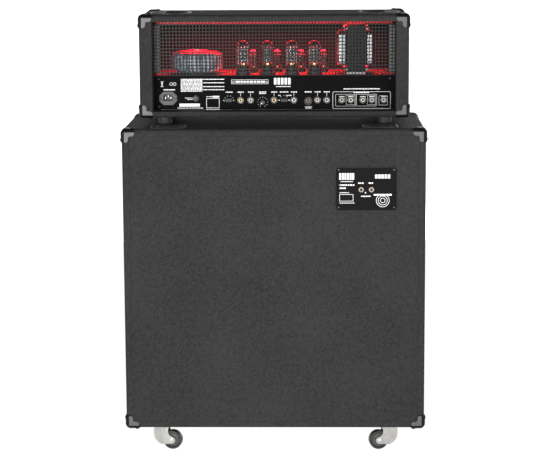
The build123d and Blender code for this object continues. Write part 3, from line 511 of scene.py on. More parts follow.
def clear_glass(name, tint, body):
    """Thin blown glass: seen through in the middle and mirror-like towards its edges."""
    finish = Finish(name, "ShaderNodeMixShader")
    through = finish.tree.nodes.new("ShaderNodeBsdfTransparent")
    through.inputs["Color"].default_value = (*tint, 1)
    sheen = finish.tree.nodes.new("ShaderNodeBsdfPrincipled")
    sheen.inputs["Base Color"].default_value = (0.75, 0.75, 0.78, 1)
    sheen.inputs["Metallic"].default_value = 1.0
    smear = finish.noise(70.0, 3.0)
    finish._feed(sheen.inputs["Roughness"], 0.02 + smear * 0.08)
    facing = finish.node("ShaderNodeLayerWeight", None, Blend=0.35, output=1)
    finish._feed(finish.shader.inputs[0], body + facing.power(1.6) * 0.85)
    finish.tree.links.new(through.outputs[0], finish.shader.inputs[1])
    finish.tree.links.new(sheen.outputs[0], finish.shader.inputs[2])
    return finish.material


def woven_cloth(name):
    """Speaker cloth: an over-and-under weave of two threads, from sine waves along X and Z."""
    finish = Finish(name, Specular_IOR_Level=0.2)
    warp = (finish.axis(0) * 2400.0).wave()
    weft = (finish.axis(2) * 2400.0).wave()
    weave = warp * weft
    slub = finish.noise(700.0, 3.0)
    finish.set("Base Color", finish.ramp(
        weave * 0.3 + slub * 0.5 + 0.25, [(0.2, grey(0.004)), (0.6, grey(0.014)), (0.95, grey(0.06))],
    ))
    finish.set("Roughness", 0.75 + slub * 0.2)
    finish.bump(weave * 0.5 + slub * 0.4, 0.0004, 0.9)
    return finish.material


def wood_grain(name, light, dark):
    """Plywood or softwood: stretched noise along X."""
    finish = Finish(name, Roughness=0.6)
    where = finish.node("ShaderNodeMapping", None, finish.place(), Scale=(3.0, 60.0, 60.0))
    rings = finish.noise(4.0, 6.0, 0.6, vector=where)
    finish.set("Base Color", finish.ramp(rings, [(0.3, dark), (0.7, light)]))
    finish.set("Roughness", 0.55 + rings * 0.2)
    finish.bump(rings, 0.0003, 0.4)
    return finish.material


def wound_tape(name, centre):
    """Polyester tape wound on a ring: overlaps that go round with the angle about its centre."""
    finish = Finish(name, Roughness=0.25, Coat_Weight=0.3)
    away = [finish.axis(index) - centre[index] * MM for index in (0, 1)]
    turn = finish.node("ShaderNodeMath", {"operation": "ARCTAN2"}, away[1], away[0])
    laps = (turn * (36.0 / (2 * math.pi)) + finish.axis(2) * 3.0).part()
    step = laps.power(6.0)
    cloud = finish.noise(60.0, 3.0)
    finish.set("Base Color", finish.ramp(
        laps * 0.5 + cloud * 0.5,
        [(0.25, (0.04, 0.05, 0.08)), (0.5, (0.2, 0.24, 0.32)), (0.75, (0.8, 0.85, 0.95))],
    ))
    finish.set("Roughness", 0.18 + cloud * 0.2)
    finish.bump(step + cloud * 0.2, 0.0008, 0.7)
    return finish.material


def laminated(name):
    """A stack of thin steel plates: fine lines along X that differ from plate to plate."""
    finish = Finish(name, Metallic=0.6)
    plates = (finish.axis(0) * 1400.0).part()
    rust = finish.noise(50.0, 5.0, 0.7)
    finish.set("Base Color", finish.ramp(
        plates * 0.5 + rust * 0.5, [(0.2, grey(0.012)), (0.6, grey(0.03)), (0.95, grey(0.075))],
    ))
    finish.set("Roughness", 0.4 + rust * 0.3)
    finish.bump(plates, 0.0004, 0.5)
    return finish.material


def cone_paper(name):
    """Pressed paper cone: soft fibres and faint rings."""
    finish = Finish(name, Roughness=0.8)
    fibre = finish.noise(500.0, 6.0, 0.7)
    finish.set("Base Color", finish.ramp(fibre, [(0.3, grey(0.02)), (0.7, grey(0.05))]))
    finish.set("Roughness", 0.7 + fibre * 0.2)
    finish.bump(fibre, 0.0004, 0.6)
    return finish.material


def board_green(name):
    """Fibreglass board: solder-mask green with lighter tracks."""
    finish = Finish(name, Roughness=0.35)
    tracks = finish.cells(90.0, "DISTANCE_TO_EDGE", randomness=0.6)
    finish.set("Base Color", finish.mix(tracks < 0.06, (0.02, 0.12, 0.05), (0.08, 0.3, 0.1)))
    finish.set("Roughness", 0.3 + tracks * 0.3)
    finish.bump(tracks, 0.0002, 0.4)
    return finish.material


def floor_finish(name):
    """White studio paper, lit a little from below so that it stays clean."""
    finish = Finish(name, Roughness=0.9, Specular_IOR_Level=0.1, Emission_Strength=1.15)
    paper = finish.mix(finish.noise(2.0), grey(0.88), grey(0.93))
    finish.set("Base Color", paper)
    finish.set("Emission Color", paper)
    return finish.material


VINYL = vinyl("grained_vinyl", 0.031, 0.02)
# Painted shade: a near-black, almost unreflecting finish for a sheet that stands in for the shade inside the head.
SHADE_SHEET_FINISH = painted("painted_shade_sheet", 0.0045, 0.8, gloss=0.04)
PLASTIC = moulded("corner_plastic", 0.005, 0.5, gloss=0.1)
PLASTIC_GREY = moulded("handle_plastic", 0.055, 0.42, gloss=0.7)
BLACK_PLASTIC = moulded("socket_plastic", 0.012, 0.35)
KNOB_BLACK = moulded("knob_black", 0.014, 0.3)
RUBBER = moulded("black_rubber", 0.016, 0.5, 0.0001)
WHEEL = moulded("wheel_rubber", 0.012, 0.45, 0.0001)
HUB = moulded("hub_grey", 0.045, 0.4)
ENAMEL = painted("black_enamel", 0.003, 0.5, gloss=0.03)
PLATE_BLACK = painted("plate_black", 0.0065, 0.5, gloss=0.04)
MESH_GREY = painted("mesh_coating", 0.009, 0.4, 0.002, gloss=0.2)
MAGNET_IRON = painted("magnet_iron", 0.06, 0.45)
BLACK_STEEL = painted("black_steel", 0.02, 0.4)
INK = painted("white_ink", 0.78, 0.5)
# The fork plating's long upright streaks are painted reflection, standing in for the bands a bright fork mirrors
# from its surroundings.
FORK_STEEL = plated("fork_plating", (0.5, 0.49, 0.465), 0.25, (90.0, 90.0, 6.0))
CHROME = plated("bright_chrome", (0.86, 0.86, 0.84), 0.1)
NICKEL = plated("nickel", (0.72, 0.7, 0.66), 0.35)
GOLD = plated("gold_plate", (0.9, 0.66, 0.32), 0.35)
BRASS = plated("dull_brass", (0.4, 0.32, 0.27), 0.35)
ZINC = plated("zinc_plate", (0.62, 0.62, 0.6), 0.32)
BELL = plated("bell_plate", (0.55, 0.55, 0.56), 0.3)
GETTER = plated("getter_silver", (0.8, 0.8, 0.82), 0.1)
PLATE_GREY = painted("valve_plate", 0.05, 0.45)
MICA = moulded("mica", (0.55, 0.52, 0.46), 0.4)
GLASS = clear_glass("valve_glass", (0.93, 0.93, 0.95), 0.05)
RED_LENS = glow("lamp_lens", (1.0, 0.03, 0.02), 2.5)
LED_RED = glow("led_red", (1.0, 0.01, 0.02), 12.0)
# Painted glow: a dim red emission on a plain rail, standing in for red lamp light falling on it.
RAIL_PAINTED_GLOW = glow("rail_painted_red_glow", (1.0, 0.01, 0.02), 0.09)
BRACKET = painted("bracket_grey", 0.2, 0.5)
HEATER = glow("heater_glow", (1.0, 0.35, 0.08), 7.0)
CLOTH = woven_cloth("speaker_cloth")
PIPING = moulded("piping_vinyl", (0.3, 0.3, 0.29), 0.45)
BARE_WOOD = wood_grain("batten_wood", (0.55, 0.4, 0.24), (0.36, 0.24, 0.13))
BLACK_WOOD = wood_grain("stained_ply", (0.03, 0.028, 0.026), (0.012, 0.011, 0.01))
CORE = laminated("core_plates")
PAPER = cone_paper("cone_paper")
BOARD = board_green("board_green")
FLOOR = floor_finish("pale_floor")


# ------------------------------------------------------------------ places, in millimetres
def box(node):
    low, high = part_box(node)
    return np.array(low) / MM, np.array(high) / MM


def centre(node):
    return sum(box(node)) / 2


def back(form, x, z, y):
    """The shape facing +Y, its own X running to the right as seen from behind and its own Y up."""
    return form.set_on((x, y, z), (0, 1, 0), (-1, 0, 0))


def front(form, x, z, y):
    """The shape facing -Y, its own X running along +X and its own Y up."""
    return form.set_on((x, y, z), (0, -1, 0), (1, 0, 0))


def make(name, forms, finish, body, replaces=(), crease=35):
    """A piece from shapes in millimetres."""
    return piece(name, joined(forms).scaled((MM, MM, MM)), finish, body, replaces, crease)


def coat(finish, *nodes):
    """Gives CAD nodes a finish."""
    for node in nodes:
        item = frame["nodes"][node]
        item.data.materials.clear()
        item.data.materials.append(finish)


MOUNTS = {mount["name"]: np.array(mount["pos_m"]) / MM for mount in RECORD["mounts"]}
JOINTS = {joint["name"]: joint for joint in frame["joints"]}
CAB_LOW, CAB_HIGH = box("cabinet_shell")
HEAD_LOW, HEAD_HIGH = box("head_shell")
PANEL_LOW, PANEL_HIGH = box("rear_panel")
REAR = PANEL_HIGH[1]
FRONT = box("front_panel")[0][1]
JACK_Z = MOUNTS["rear_jack_1"][2]
FRONT_Z = MOUNTS["front_jack"][2]
REAR_JACK_X = [MOUNTS[f"rear_jack_{n}"][0] for n in range(1, 12)]
BOTH = (-1, 1)
SQUARE = [(a, b) for a in BOTH for b in BOTH]
PRINT = 0.12
PRINT_Z = PANEL_LOW[2] + 21.9

# ------------------------------------------------------------------ finishes of the parts carried over
coat(VINYL, "cabinet_shell", "cabinet_rear_panel", "head_shell")
coat(BARE_WOOD, "cabinet_battens")
coat(BLACK_WOOD, "cabinet_baffle")
coat(PLASTIC, "cabinet_corners", "head_corners")
coat(ENAMEL, "rear_panel", "front_panel")
coat(PLATE_BLACK, "jack_plate")
coat(BLACK_STEEL, "speaker_frames")
coat(MAGNET_IRON, "speaker_magnets")
coat(ZINC, "caster_plates", "chassis")
coat(BOARD, "circuit_board")
coat(BLACK_PLASTIC, "valve_sockets")
coat(LED_RED, "led_strip")
coat(FORK_STEEL, *[f"caster_fork_{n}" for n in range(1, 5)])
coat(CHROME, "channel_toggle")
coat(KNOB_BLACK, "rear_slider_1", "rear_slider_2", "standby_rocker", "power_rocker")
coat(PAPER, *[f"speaker_cone_{n}" for n in range(1, 5)])


# ------------------------------------------------------------------ corner protectors
def corner_pad(leg, width, end):
    """A raised L-shaped pad: two straight legs with slanted ends and a stepped shoulder between them."""
    outline = np.array([
        (0, 0), (leg, 0), (leg, width - end), (leg - end, width), (width + 4, width),
        (width + 1.5, width + 1.5), (width, width + 4), (width, leg - end), (width - end, leg), (0, leg),
    ], float)
    centre = np.array([width * 0.5, width * 0.5])
    inward = centre - outline
    inset = outline + inward * (0.9 / (np.linalg.norm(inward, axis=1, keepdims=True) + 1))
    form = stacked([(outline, 0), (outline, 0.45), (inset, 0.9)])
    half = (np.array([0, 1, 2, 3, 4, 5]), np.array([0, 5, 6, 7, 8, 9]))
    form.faces += [part[::-1] for part in half] + [part + 2 * len(outline) for part in half]
    return form


def corner_set(name, low, high, body):
    """Pads on the three faces of each of eight corners, kept clear of the rounded edges."""
    start, skin = 7.0, 1.9
    forms = []
    for signs in np.array(np.meshgrid(BOTH, BOTH, BOTH)).T.reshape(-1, 3):
        corner = np.where(signs > 0, high, low)
        for axis in range(3):
            one, two = (axis + 1) % 3, (axis + 2) % 3
            across, up, out = np.zeros(3), np.zeros(3), np.zeros(3)
            across[one], up[two], out[axis] = -signs[one], -signs[two], signs[axis]
            pad = corner_pad(26.0, 10.5, 4.5)
            place = corner + out * skin + (across + up) * start
            forms.append(Form(pad.points @ np.array([across, up, out]) + place, pad.faces))
    make(name, forms, PLASTIC_GREY, body, crease=25)


corner_set("cabinet_corner_pads", CAB_LOW, CAB_HIGH, "cabinet")
corner_set("head_corner_pads", HEAD_LOW, HEAD_HIGH, "head")


# ------------------------------------------------------------------ casters
def caster(number):
    """A tyre and a recessed web turned about the axle, with a bead round the tread."""
    joint = JOINTS[f"caster_{number}_roll"]
    low, high = box(f"caster_wheel_{number}")
    hub = (low + high) / 2
    axis = np.array(joint["axis"])
    r = (high[2] - low[2]) / 2
    half = 10.0
    turn = np.linspace(0, np.pi / 2, 6)
    shoulder = np.column_stack([r - 3.2 + 3.2 * np.sin(turn), half - 3.2 + 3.2 * np.cos(turn)])
    tyre = np.vstack([[(r - 6.5, half - 1.6), (r - 5.2, half)], shoulder])
    tyre = np.vstack([tyre, tyre[::-1] * (1, -1)])
    web = np.array([(4.06, half), (9.0, half), (10.0, half - 0.8), (10.6, half - 2.6), (r - 8, half - 3.2),
                    (r - 6.45, half - 1.5)])
    web = np.vstack([web, web[::-1] * (1, -1)])
    rib = rounded_box((10, -1.2, -half + 2), (r - 6.5, 1.2, half - 2), 0.6)
    spokes = [rib.turned(k * 2 * math.pi / 5) for k in range(5)]
    body = f"caster_wheel_{number}"
    tyre_form = lathe(tyre, 64, loop=True).set_on(hub, axis)
    make(f"tyre_{number}", [tyre_form], WHEEL, body, [body])
    web_form = joined([lathe(web, 48, loop=True), *spokes]).set_on(hub, axis)
    make(f"wheel_web_{number}", [web_form], HUB, body)
    rivets = [screw_head(4.6, 1.2).set_on(hub + side * 15.0 * axis, side * axis) for side in BOTH]
    make(f"axle_nuts_{number}", rivets, ZINC, f"caster_fork_{number}")


for number in range(1, 5):
    caster(number)

plate_high = box("caster_plates")[1]
bolts = []
for sx, sy in SQUARE:
    for bx, by in SQUARE:
        spot = (sx * (plate_high[0] - 31) + bx * 24, sy * (plate_high[1] - 31) + by * 24, plate_high[2] - 2.5)
        bolts.append(screw_head(4.0, 2.0).set_on(spot, (0, 0, -1)))
make("caster_screws", bolts, NICKEL, "cabinet")


# ------------------------------------------------------------------ cups on the cabinet's top
def top_cup(low, high):
    """A rounded frame round a shallow dish, lofted through rounded rectangles."""
    w, d = high[0] - low[0], high[1] - low[1]
    floor = low[2] + 0.6
    levels = [(0, low[2]), (0, high[2] - 0.6), (0.8, high[2]), (4.5, high[2]), (6.0, high[2] - 0.7),
              (8.0, floor + 0.3), (9.5, floor)]
    return stacked([
        (rounded_rectangle(w - 2 * inset, d - 2 * inset, max(7.0 - inset * 0.5, 1.5)), z)
        for inset, z in levels
    ], caps=True)


cups_low, cups_high = box("top_cups")
cups, cup_screws = [], []
for sx, sy in SQUARE:
    middle = np.array([sx * (cups_high[0] - 45), sy * (cups_high[1] - 35), cups_low[2]])
    cups.append(top_cup((-45, -35, 0), (45, 35, cups_high[2] - cups_low[2])).moved(middle))
    for bx in BOTH:
        cup_screws.append(screw_head(3.4, 1.1).moved(middle + (bx * 30, -sy * 20, 0.8)))
make("top_cup_trays", cups, HUB, "cabinet", ["top_cups"])
make("top_cup_screws", cup_screws, NICKEL, "cabinet")


# ------------------------------------------------------------------ handles of the cabinet and the head
def side_dish(depth, length, height):
    """A recessed dish: rounded rectangles stepped inwards, from a rolled rim to a flat floor."""
    levels = [(0, 0.1), (0, 1.2), (1.6, 2.2), (12, 2.4), (14.5, 1.8), (16, -2), (17, -12), (20, -depth + 8),
              (26, -depth + 1), (32, -depth)]
    rings = [
        (rounded_rectangle(length - 2 * inset, height - 2 * inset, max(18 - inset * 0.2, 6)), z)
        for inset, z in levels
    ]
    form = stacked(rings)
    form.faces += [np.arange(24) + 24 * (len(levels) - 1)]
    return joined([form, stacked([(rings[0][0], 0.1), (rings[5][0], -1.0)])])


handle_z = centre("side_handles")[2]
dishes, bars, dish_screws = [], [], []
for side in BOTH:
    place, axis, across = (side * CAB_HIGH[0], 0, handle_z), (side, 0, 0), (0, side, 0)
    dishes.append(side_dish(44, 200, 130).set_on(place, axis, across))
    bend = np.linspace(-1, 1, 25)
    path = np.column_stack([bend * 84, 34 - 3 * (1 - bend**2), -7 - 0 * bend])
    grip = tube(path, 1.0, 20)
    middle = np.repeat(path, 20, 0)
    grip = Form(middle + (grip.points - middle) * (1, 13.5, 6.5), grip.faces)
    bars.append(grip.set_on(place, axis, across))
    for bx, by in SQUARE:
        dish_screws.append(screw_head(4.0, 1.8).moved((bx * 91, by * 56, 2.0)).set_on(place, axis, across))
make("side_handle_dishes", dishes, PLASTIC, "cabinet", ["side_handles"])
make("side_handle_grips", bars, RUBBER, "cabinet")
make("side_handle_screws", dish_screws, NICKEL, "cabinet")


def oval_dish(width, length, depth):
    """An oval bowl whose floor ramps down to one long side: the depth grows as a smooth step across it."""
    share = np.array([1.0, 1.0, 0.985, 0.93, 0.885, 0.86, 0.8, 0.7, 0.55, 0.4, 0.2, 0.02])[:, None]
    rim = np.array([0.0, 1.4, 2.0, 2.0, 1.2, -1.0, 0, 0, 0, 0, 0, 0])[:, None]
    inside = (np.arange(12) > 5)[:, None]
    angle = np.linspace(0, 2 * np.pi, 72, endpoint=False)[None]
    x, y = share * np.cos(angle), share * np.sin(angle)
    slope = np.clip((x + 0.75) / 1.0, 0, 1)
    floor = -3.0 - (depth - 3.0) * slope**2 * (3 - 2 * slope)
    wall = np.clip((0.86 - share) / 0.1, 0, 1)
    z = np.where(inside, floor * wall - 1.0 * (1 - wall), rim + 0 * angle)
    form = grid(np.stack([x * width / 2, y * length / 2, z], -1), close_v=True)
    form.faces.append(np.arange(72) + 11 * 72)
    return form


def finger_lip(width, length, reach):
    """The part of the oval beyond a straight edge: a plate a hand curls under."""
    edge = width / 2 - reach
    limit = math.acos(edge / (width / 2))
    angle = np.linspace(-limit, limit, 33)
    arc = np.column_stack([np.cos(angle) * width / 2, np.sin(angle) * length / 2])
    return prism(arc, -2.2, 1.6, 0.8)


handle_low, handle_high = box("head_handles")
oval_y = (handle_low[1] + handle_high[1]) / 2
oval_length = handle_high[1] - handle_low[1]
ovals, lips, oval_screws = [], [], []
for side in BOTH:
    place = (side * (handle_high[0] - 55), oval_y, HEAD_HIGH[2])
    flip = (side, 1, 1)
    ovals.append(oval_dish(110, oval_length, 27).scaled(flip).moved(place))
    lips.append(finger_lip(96, oval_length - 15, 33).scaled(flip).moved(place))
    for sy in BOTH:
        oval_screws.append(screw_head(3.6, 1.0).moved((0, sy * (oval_length / 2 - 4.5), 1.9)).moved(place))
make("head_handle_bowls", ovals, PLASTIC_GREY, "head", ["head_handles"])
make("head_handle_lips", lips, PLASTIC, "head")
make("head_handle_screws", oval_screws, ZINC, "head")


# ------------------------------------------------------------------ rubber feet
feet_low, feet_high = box("head_feet")
foot_profile = [(4, 2.5), (4, 0.9), (9, 0.6), (11, 0), (16.5, 0), (18, 1.6), (18.6, 10), (19, 19), (0, 19),
                (0, 2.5)]
feet, foot_screws = [], []
for sx in BOTH:
    for y in (feet_low[1] + 19, feet_high[1] - 19):
        spot = (sx * (feet_high[0] - 19), y, feet_low[2])
        feet.append(lathe(foot_profile, 40, loop=True).moved(spot))
        foot_screws.append(screw_head(3.6, 1.6).set_on(np.array(spot) + (0, 0, 2.6), (0, 0, -1)))
make("rubber_feet", feet, RUBBER, "head", ["head_feet"])
make("foot_screws", foot_screws, ZINC, "head")


# ------------------------------------------------------------------ mesh grilles
def mesh_sheet(node, deep):
    """A punched sheet as wide and high as the node, with a folded strip along its bottom edge."""
    low, high = box(node)
    width, height = high[0] - low[0], high[2] - low[2]
    sheet = perforated(width, height, 8.6, 0.50, 1.4)
    x, z = (low[0] + high[0]) / 2, (low[2] + high[2]) / 2
    face = high[1] - 0.75 if deep else low[1] + 0.75
    forms = [back(sheet, x, z, face)]
    if deep:
        forms.append(rounded_box((low[0], low[1], low[2]), (high[0], high[1], low[2] + 1.5), 0.4))
    return forms


for side, folded in (("rear", True), ("front", False)):
    node = f"{side}_grille"
    make(f"{side}_mesh", mesh_sheet(node, folded), MESH_GREY, "head", [node], crease=30)
low, high = box("front_grille")
# A thin near-black sheet just behind the front mesh. It is painted shade, not a part of the amplifier, and keeps
# the view through both grilles dark.
shade_sheet = rounded_box((low[0], high[1] + 0.4, low[2]), (high[0], high[1] + 1.4, high[2]), 0.3)
make("front_mesh_backing", [shade_sheet], SHADE_SHEET_FINISH, "head")


# ------------------------------------------------------------------ transformers
iron_low, iron_high = box("mains_transformer")
toroid_x, toroid_y = centre("mains_transformer")[:2]
pad_top = iron_low[2] + 6
angle = np.linspace(0, 2 * np.pi, 144, endpoint=False)[:, None]
section = np.linspace(0, 2 * np.pi, 40, endpoint=False)[None]
power = 0.55
ring_c = np.sign(np.cos(section)) * np.abs(np.cos(section)) ** power
ring_s = np.sign(np.sin(section)) * np.abs(np.sin(section)) ** power
lap = 1 + 0.010 * ((angle * 36 / (2 * np.pi) + 0.1 * np.sin(section)) % 1) - 0.005
reach = 42.5 + 26.3 * ring_c * lap
winding = grid(np.stack([
    reach * np.cos(angle), reach * np.sin(angle), 26 + 25.8 * ring_s * lap + 0 * angle,
], -1), close_u=True, close_v=True).moved((toroid_x, toroid_y, pad_top))
TAPE = wound_tape("winding_tape", (toroid_x, toroid_y))
make("toroid_winding", [winding], TAPE, "head", ["mains_transformer"], crease=60)
cap = lathe([(0, 0), (34, 0), (34, 0.8), (30, 1.2), (27, 3.2), (9, 4.0), (0, 4.0)], 48)
bolt = joined([prism(circle(8, 6), 4, 9, 0.8), lathe([(0, 3.9), (3.9, 3.9), (3.9, 11), (0, 11.5)], 20)])
dish_place = (toroid_x, toroid_y, iron_high[2] - 8)
cap_parts = [cap.moved(dish_place), bolt.scaled((1, 1, 0.65)).moved(dish_place)]
make("toroid_cap", cap_parts, ZINC, "head")
pad = lathe([(0, 0), (50, 0), (50, 5.2), (49, 6), (0, 6)], 48).moved((toroid_x, toroid_y, iron_low[2]))
make("toroid_pad", [pad], RUBBER, "head")

core_low, core_high = box("output_transformer")
core_x = core_low[0] + 21 + 24
core_y = (core_low[1] + core_high[1]) / 2
stack_low, stack_high = core_x - 24, core_x + 24
core = rounded_box((stack_low, core_low[1], core_low[2] + 6), (stack_high, core_high[1], core_high[2]), 1.2)
make("transformer_core", [core], CORE, "head", ["output_transformer"])
core_middle = (core_low[2] + 6 + core_high[2]) / 2
bells = [
    rounded_box((core_x + near, core_y - 39, core_middle - 45),
                (core_x + far, core_y + 39, core_middle + 45), 9, 4)
    for near, far in ((23, 51), (-45, -23))
]
make("transformer_bells", bells, BELL, "head")
brackets = [
    rounded_box((stack_low, y - 6, core_low[2]), (stack_high, y + 6, core_low[2] + 6.5), 1)
    for y in (core_y - 46, core_y + 46)
]
studs = []
stud = joined([prism(circle(5, 6), 0, 4, 0.5), lathe([(0, 3), (2.5, 3), (2.5, 8), (0, 8.4)], 16)])
for sy, sz in SQUARE:
    for sx in BOTH:
        spot = (core_x + sx * 24, core_y + sy * 45, core_middle + sz * 53)
        studs.append(stud.set_on(spot, (sx, 0, 0)))
make("transformer_bracket", brackets + studs, ZINC, "head")


# ------------------------------------------------------------------ valves
def power_valve():
    """Shapes of one large valve, standing on its socket at the origin."""
    turn = np.linspace(0, np.pi / 2, 9)
    dome = np.column_stack([17.6 * np.cos(turn), 66 + 15.6 * np.sin(turn)])
    glass = np.vstack([[(0, 12), (13.5, 12), (14.5, 15), (17.2, 22), (17.6, 28)], dome])
    base = [(0, 0), (15.6, 0), (16.2, 1), (16.2, 12.5), (15.2, 14), (13.6, 14.2), (0, 14.2)]
    getter = np.column_stack([16.9 * np.cos(turn[2:]), 66 + 15.0 * np.sin(turn[2:])])
    plates = [rounded_box((-10.5, -6.5, 24), (10.5, 6.5, 58), 2.2, 3)]
    plates += [rounded_box((sx * 11.8 - 1.6, -1, 26), (sx * 11.8 + 1.6, 1, 56), 0.5, 2) for sx in BOTH]
    micas = [prism(circle(15.4, 24), z, z + 0.8, 0.2) for z in (21.5, 60)]
    rods = [tube([(x, y, 14), (x, y, 64)], 0.6, 8) for x in (-12, 12, -4, 4) for y in (-3, 3)]
    heater = [lathe([(0, 17.5), (2.6, 17.9), (2.6, 20.7), (0, 21.1)], 16)]
    return {"glass": [lathe(glass, 40)], "base": [lathe(base, 40)], "getter": [lathe(getter, 40)],
            "plate": plates, "mica": micas, "rod": rods, "heater": heater}


def preamp_valve():
    """Shapes of one small all-glass valve."""
    turn = np.linspace(0, np.pi / 2, 8)
    dome = np.column_stack([2 + 8.7 * np.cos(turn), 44 + 8.0 * np.sin(turn)])
    glass = np.vstack([[(0, 0.4), (9.8, 0.4), (10.7, 2.5)], dome, [(1.6, 54), (0.6, 55.8), (0, 56)]])
    getter = np.column_stack([1.6 + 8.4 * np.cos(turn[2:]), 44 + 7.4 * np.sin(turn[2:])])
    plates = [rounded_box((sx * 4.2 - 3.2, -4, 10), (sx * 4.2 + 3.2, 4, 36), 1.2, 2) for sx in BOTH]
    micas = [prism(circle(9.6, 16), z, z + 0.6, 0.15) for z in (8, 38)]
    rods = [tube([(x, y, 1), (x, y, 41)], 0.45, 6) for x in (-4.2, 4.2) for y in (-5, 5)]
    heater = [lathe([(0, 5.2), (0.9, 5.4), (0.9, 6.4), (0, 6.6)], 12)]
    return {"glass": [lathe(glass, 32)], "base": [], "getter": [lathe(getter, 32)],
            "plate": plates, "mica": micas, "rod": rods, "heater": heater}


VALVE_FINISH = {"glass": GLASS, "base": BLACK_PLASTIC, "getter": GETTER, "plate": PLATE_GREY,
                "mica": MICA, "rod": NICKEL, "heater": HEATER}
valve_low, valve_high = box("valves")
power_y, small_y = valve_high[1] - 18, valve_low[1] + 11
power_x = [valve_high[0] - 18 - offset for offset in (0, 64, 127, 186)]
row = {kind: [] for kind in VALVE_FINISH}
for x in power_x:
    for kind, shapes in power_valve().items():
        row[kind] += [shape.moved((x, power_y, valve_low[2])) for shape in shapes]
    for kind, shapes in preamp_valve().items():
        row[kind] += [shape.moved((x - 24, small_y, valve_low[2])) for shape in shapes]
for kind, finish in VALVE_FINISH.items():
    make(f"valve_{kind}", row[kind], finish, "head", ["valves"] if kind == "glass" else ())


# ------------------------------------------------------------------ lights inside the head, and a rail with a painted red glow
strip_low, strip_high = box("led_strip")
domes = [
    lathe([(0, 0), (2.4, 0), (2.4, 0.8), (1.6, 1.8), (0, 2.2)], 12).set_on(
        (x, (strip_low[1] + strip_high[1]) / 2, strip_low[2]), (0, 0, -1))
    for x in np.linspace(strip_low[0] + 8, strip_high[0] - 8, 26)
]
make("led_beads", domes, LED_RED, "head")
grille_low, grille_high = box("rear_grille")
strip_back = grille_low[1] - 14
# A rail just behind the top of the rear mesh. Its dim red emission is painted light, standing in for the red
# lamp's light on the bay's upper edge.
rail = rounded_box((grille_low[0] + 6, strip_back, grille_high[2] - 8),
                   (grille_high[0] - 6, strip_back + 4, grille_high[2] - 2), 1)
make("light_rail", [rail], RAIL_PAINTED_GLOW, "head")
ends = [
    rounded_box((x - 8, strip_back, grille_low[2] + 4), (x + 8, strip_back + 3, grille_high[2] - 12), 1)
    for x in (9 - grille_high[0], grille_high[0] - 9)
]
make("bay_end_brackets", ends, BRACKET, "head")


# ------------------------------------------------------------------ jacks
def jack_shapes(ring, sides):
    """Nut, washer, plated sleeve and body of a jack socket, its panel face at the origin, along its own Z."""
    nut_outline = circle(ring, sides, math.pi / 6)
    hole = circle(5.0, sides, math.pi / 6)
    bevel = nut_outline * 0.94
    rings = [(hole, 0.8), (nut_outline, 0.8), (nut_outline, 2.2), (bevel, 2.9), (hole, 2.9)]
    nut = stacked(rings, close_u=True)
    rim = [(5.2, 0), (ring * 1.06, 0), (ring * 1.06, 0.6), (ring * 1.02, 0.85), (5.2, 0.85)]
    washer = lathe(rim, 36, loop=True)
    sleeve = lathe([(3.3, -22), (5.0, -22), (5.0, 2.7), (4.6, 3.0), (3.7, 3.0), (3.3, 2.6)], 32, loop=True)
    case = rounded_box((-7.5, -7.5, -25.5), (7.5, 7.5, -2.1), 1.0, 2)
    return nut, washer, sleeve, case


def jack_row(name, spots, face, turn, ring, sides, nut_finish, sleeves, body, node):
    """Jacks at several places on one panel. sleeves gives each one's plating."""
    nuts, washers, cases, plating = [], [], [], {"nickel": [], "gold": [], "brass": []}
    for (x, z), metal in zip(spots, sleeves):
        nut, washer, sleeve, case = [turn(shape, x, z, face) for shape in jack_shapes(ring, sides)]
        nuts.append(nut)
        washers.append(washer)
        cases.append(case)
        plating[metal].append(sleeve)
    make(f"{name}_nuts", nuts, nut_finish, body, node)
    make(f"{name}_washers", washers, NICKEL, body)
    make(f"{name}_cases", cases, BLACK_PLASTIC, body)
    for metal, finish in (("nickel", NICKEL), ("gold", GOLD), ("brass", BRASS)):
        if plating[metal]:
            make(f"{name}_{metal}_sleeves", plating[metal], finish, body)


metals = ["gold" if n in (0, 2) else "nickel" for n in range(11)]
jack_row("rear_jack", [(x, JACK_Z) for x in REAR_JACK_X], REAR, back, 7.9, 24, HUB, metals,
         "head", ["rear_jacks"])
plate_face = box("jack_plate")[1][1] - 1.4
cab_jacks = [tuple(MOUNTS[f"cabinet_jack_{n}"][[0, 2]]) for n in (1, 2)]
jack_row("cabinet_jack", cab_jacks, plate_face, back, 6.0, 6, BRASS, ["brass", "brass"],
         "cabinet", ["cabinet_jacks"])


# ------------------------------------------------------------------ other fittings of the rear panel
def octagon(width, height, cut, lower_cut=None):
    """Corner points of a rectangle with its corners cut off."""
    w, h, c = width / 2, height / 2, cut
    d = cut if lower_cut is None else lower_cut
    return np.array([
        (w, -h + d), (w, h - c), (w - c, h), (-w + c, h), (-w, h - c), (-w, -h + d), (-w + d, -h), (w - d, -h),
    ])


inlet_low, inlet_high = box("mains_inlet")
inlet_x, _, inlet_z = centre("mains_inlet")
outer = octagon(inlet_high[0] - inlet_low[0], inlet_high[2] - inlet_low[2], 11)
mouth = octagon(24.4, 17, 5, 0.8) + (0, 2.5)
behind = octagon(29.6, 25.6, 1)
rings = [(behind, -26), (behind, 0), (outer, 0), (outer, 2.0), (outer * 0.95, 3), (mouth * 1.06, 3),
         (mouth, 2.2), (mouth, -15)]
inlet = stacked(rings, caps=True)
make("mains_socket", [back(inlet, inlet_x, inlet_z, REAR)], HUB, "head", ["mains_inlet"], 25)
pins = [
    rounded_box((x - 1, z - 2.6, -15.2), (x + 1, z + 2.6, -1), 0.5, 2)
    for x, z in ((-7, 0.5), (7, 0.5), (0, 4.8))
]
make("mains_pins", [back(joined(pins), inlet_x, inlet_z, REAR)], NICKEL, "head")
make("mains_screws", [back(screw_head(2.8, 0.9), inlet_x + sx * 19, inlet_z - 1, REAR + 2.6) for sx in BOTH],
     BLACK_STEEL, "head")

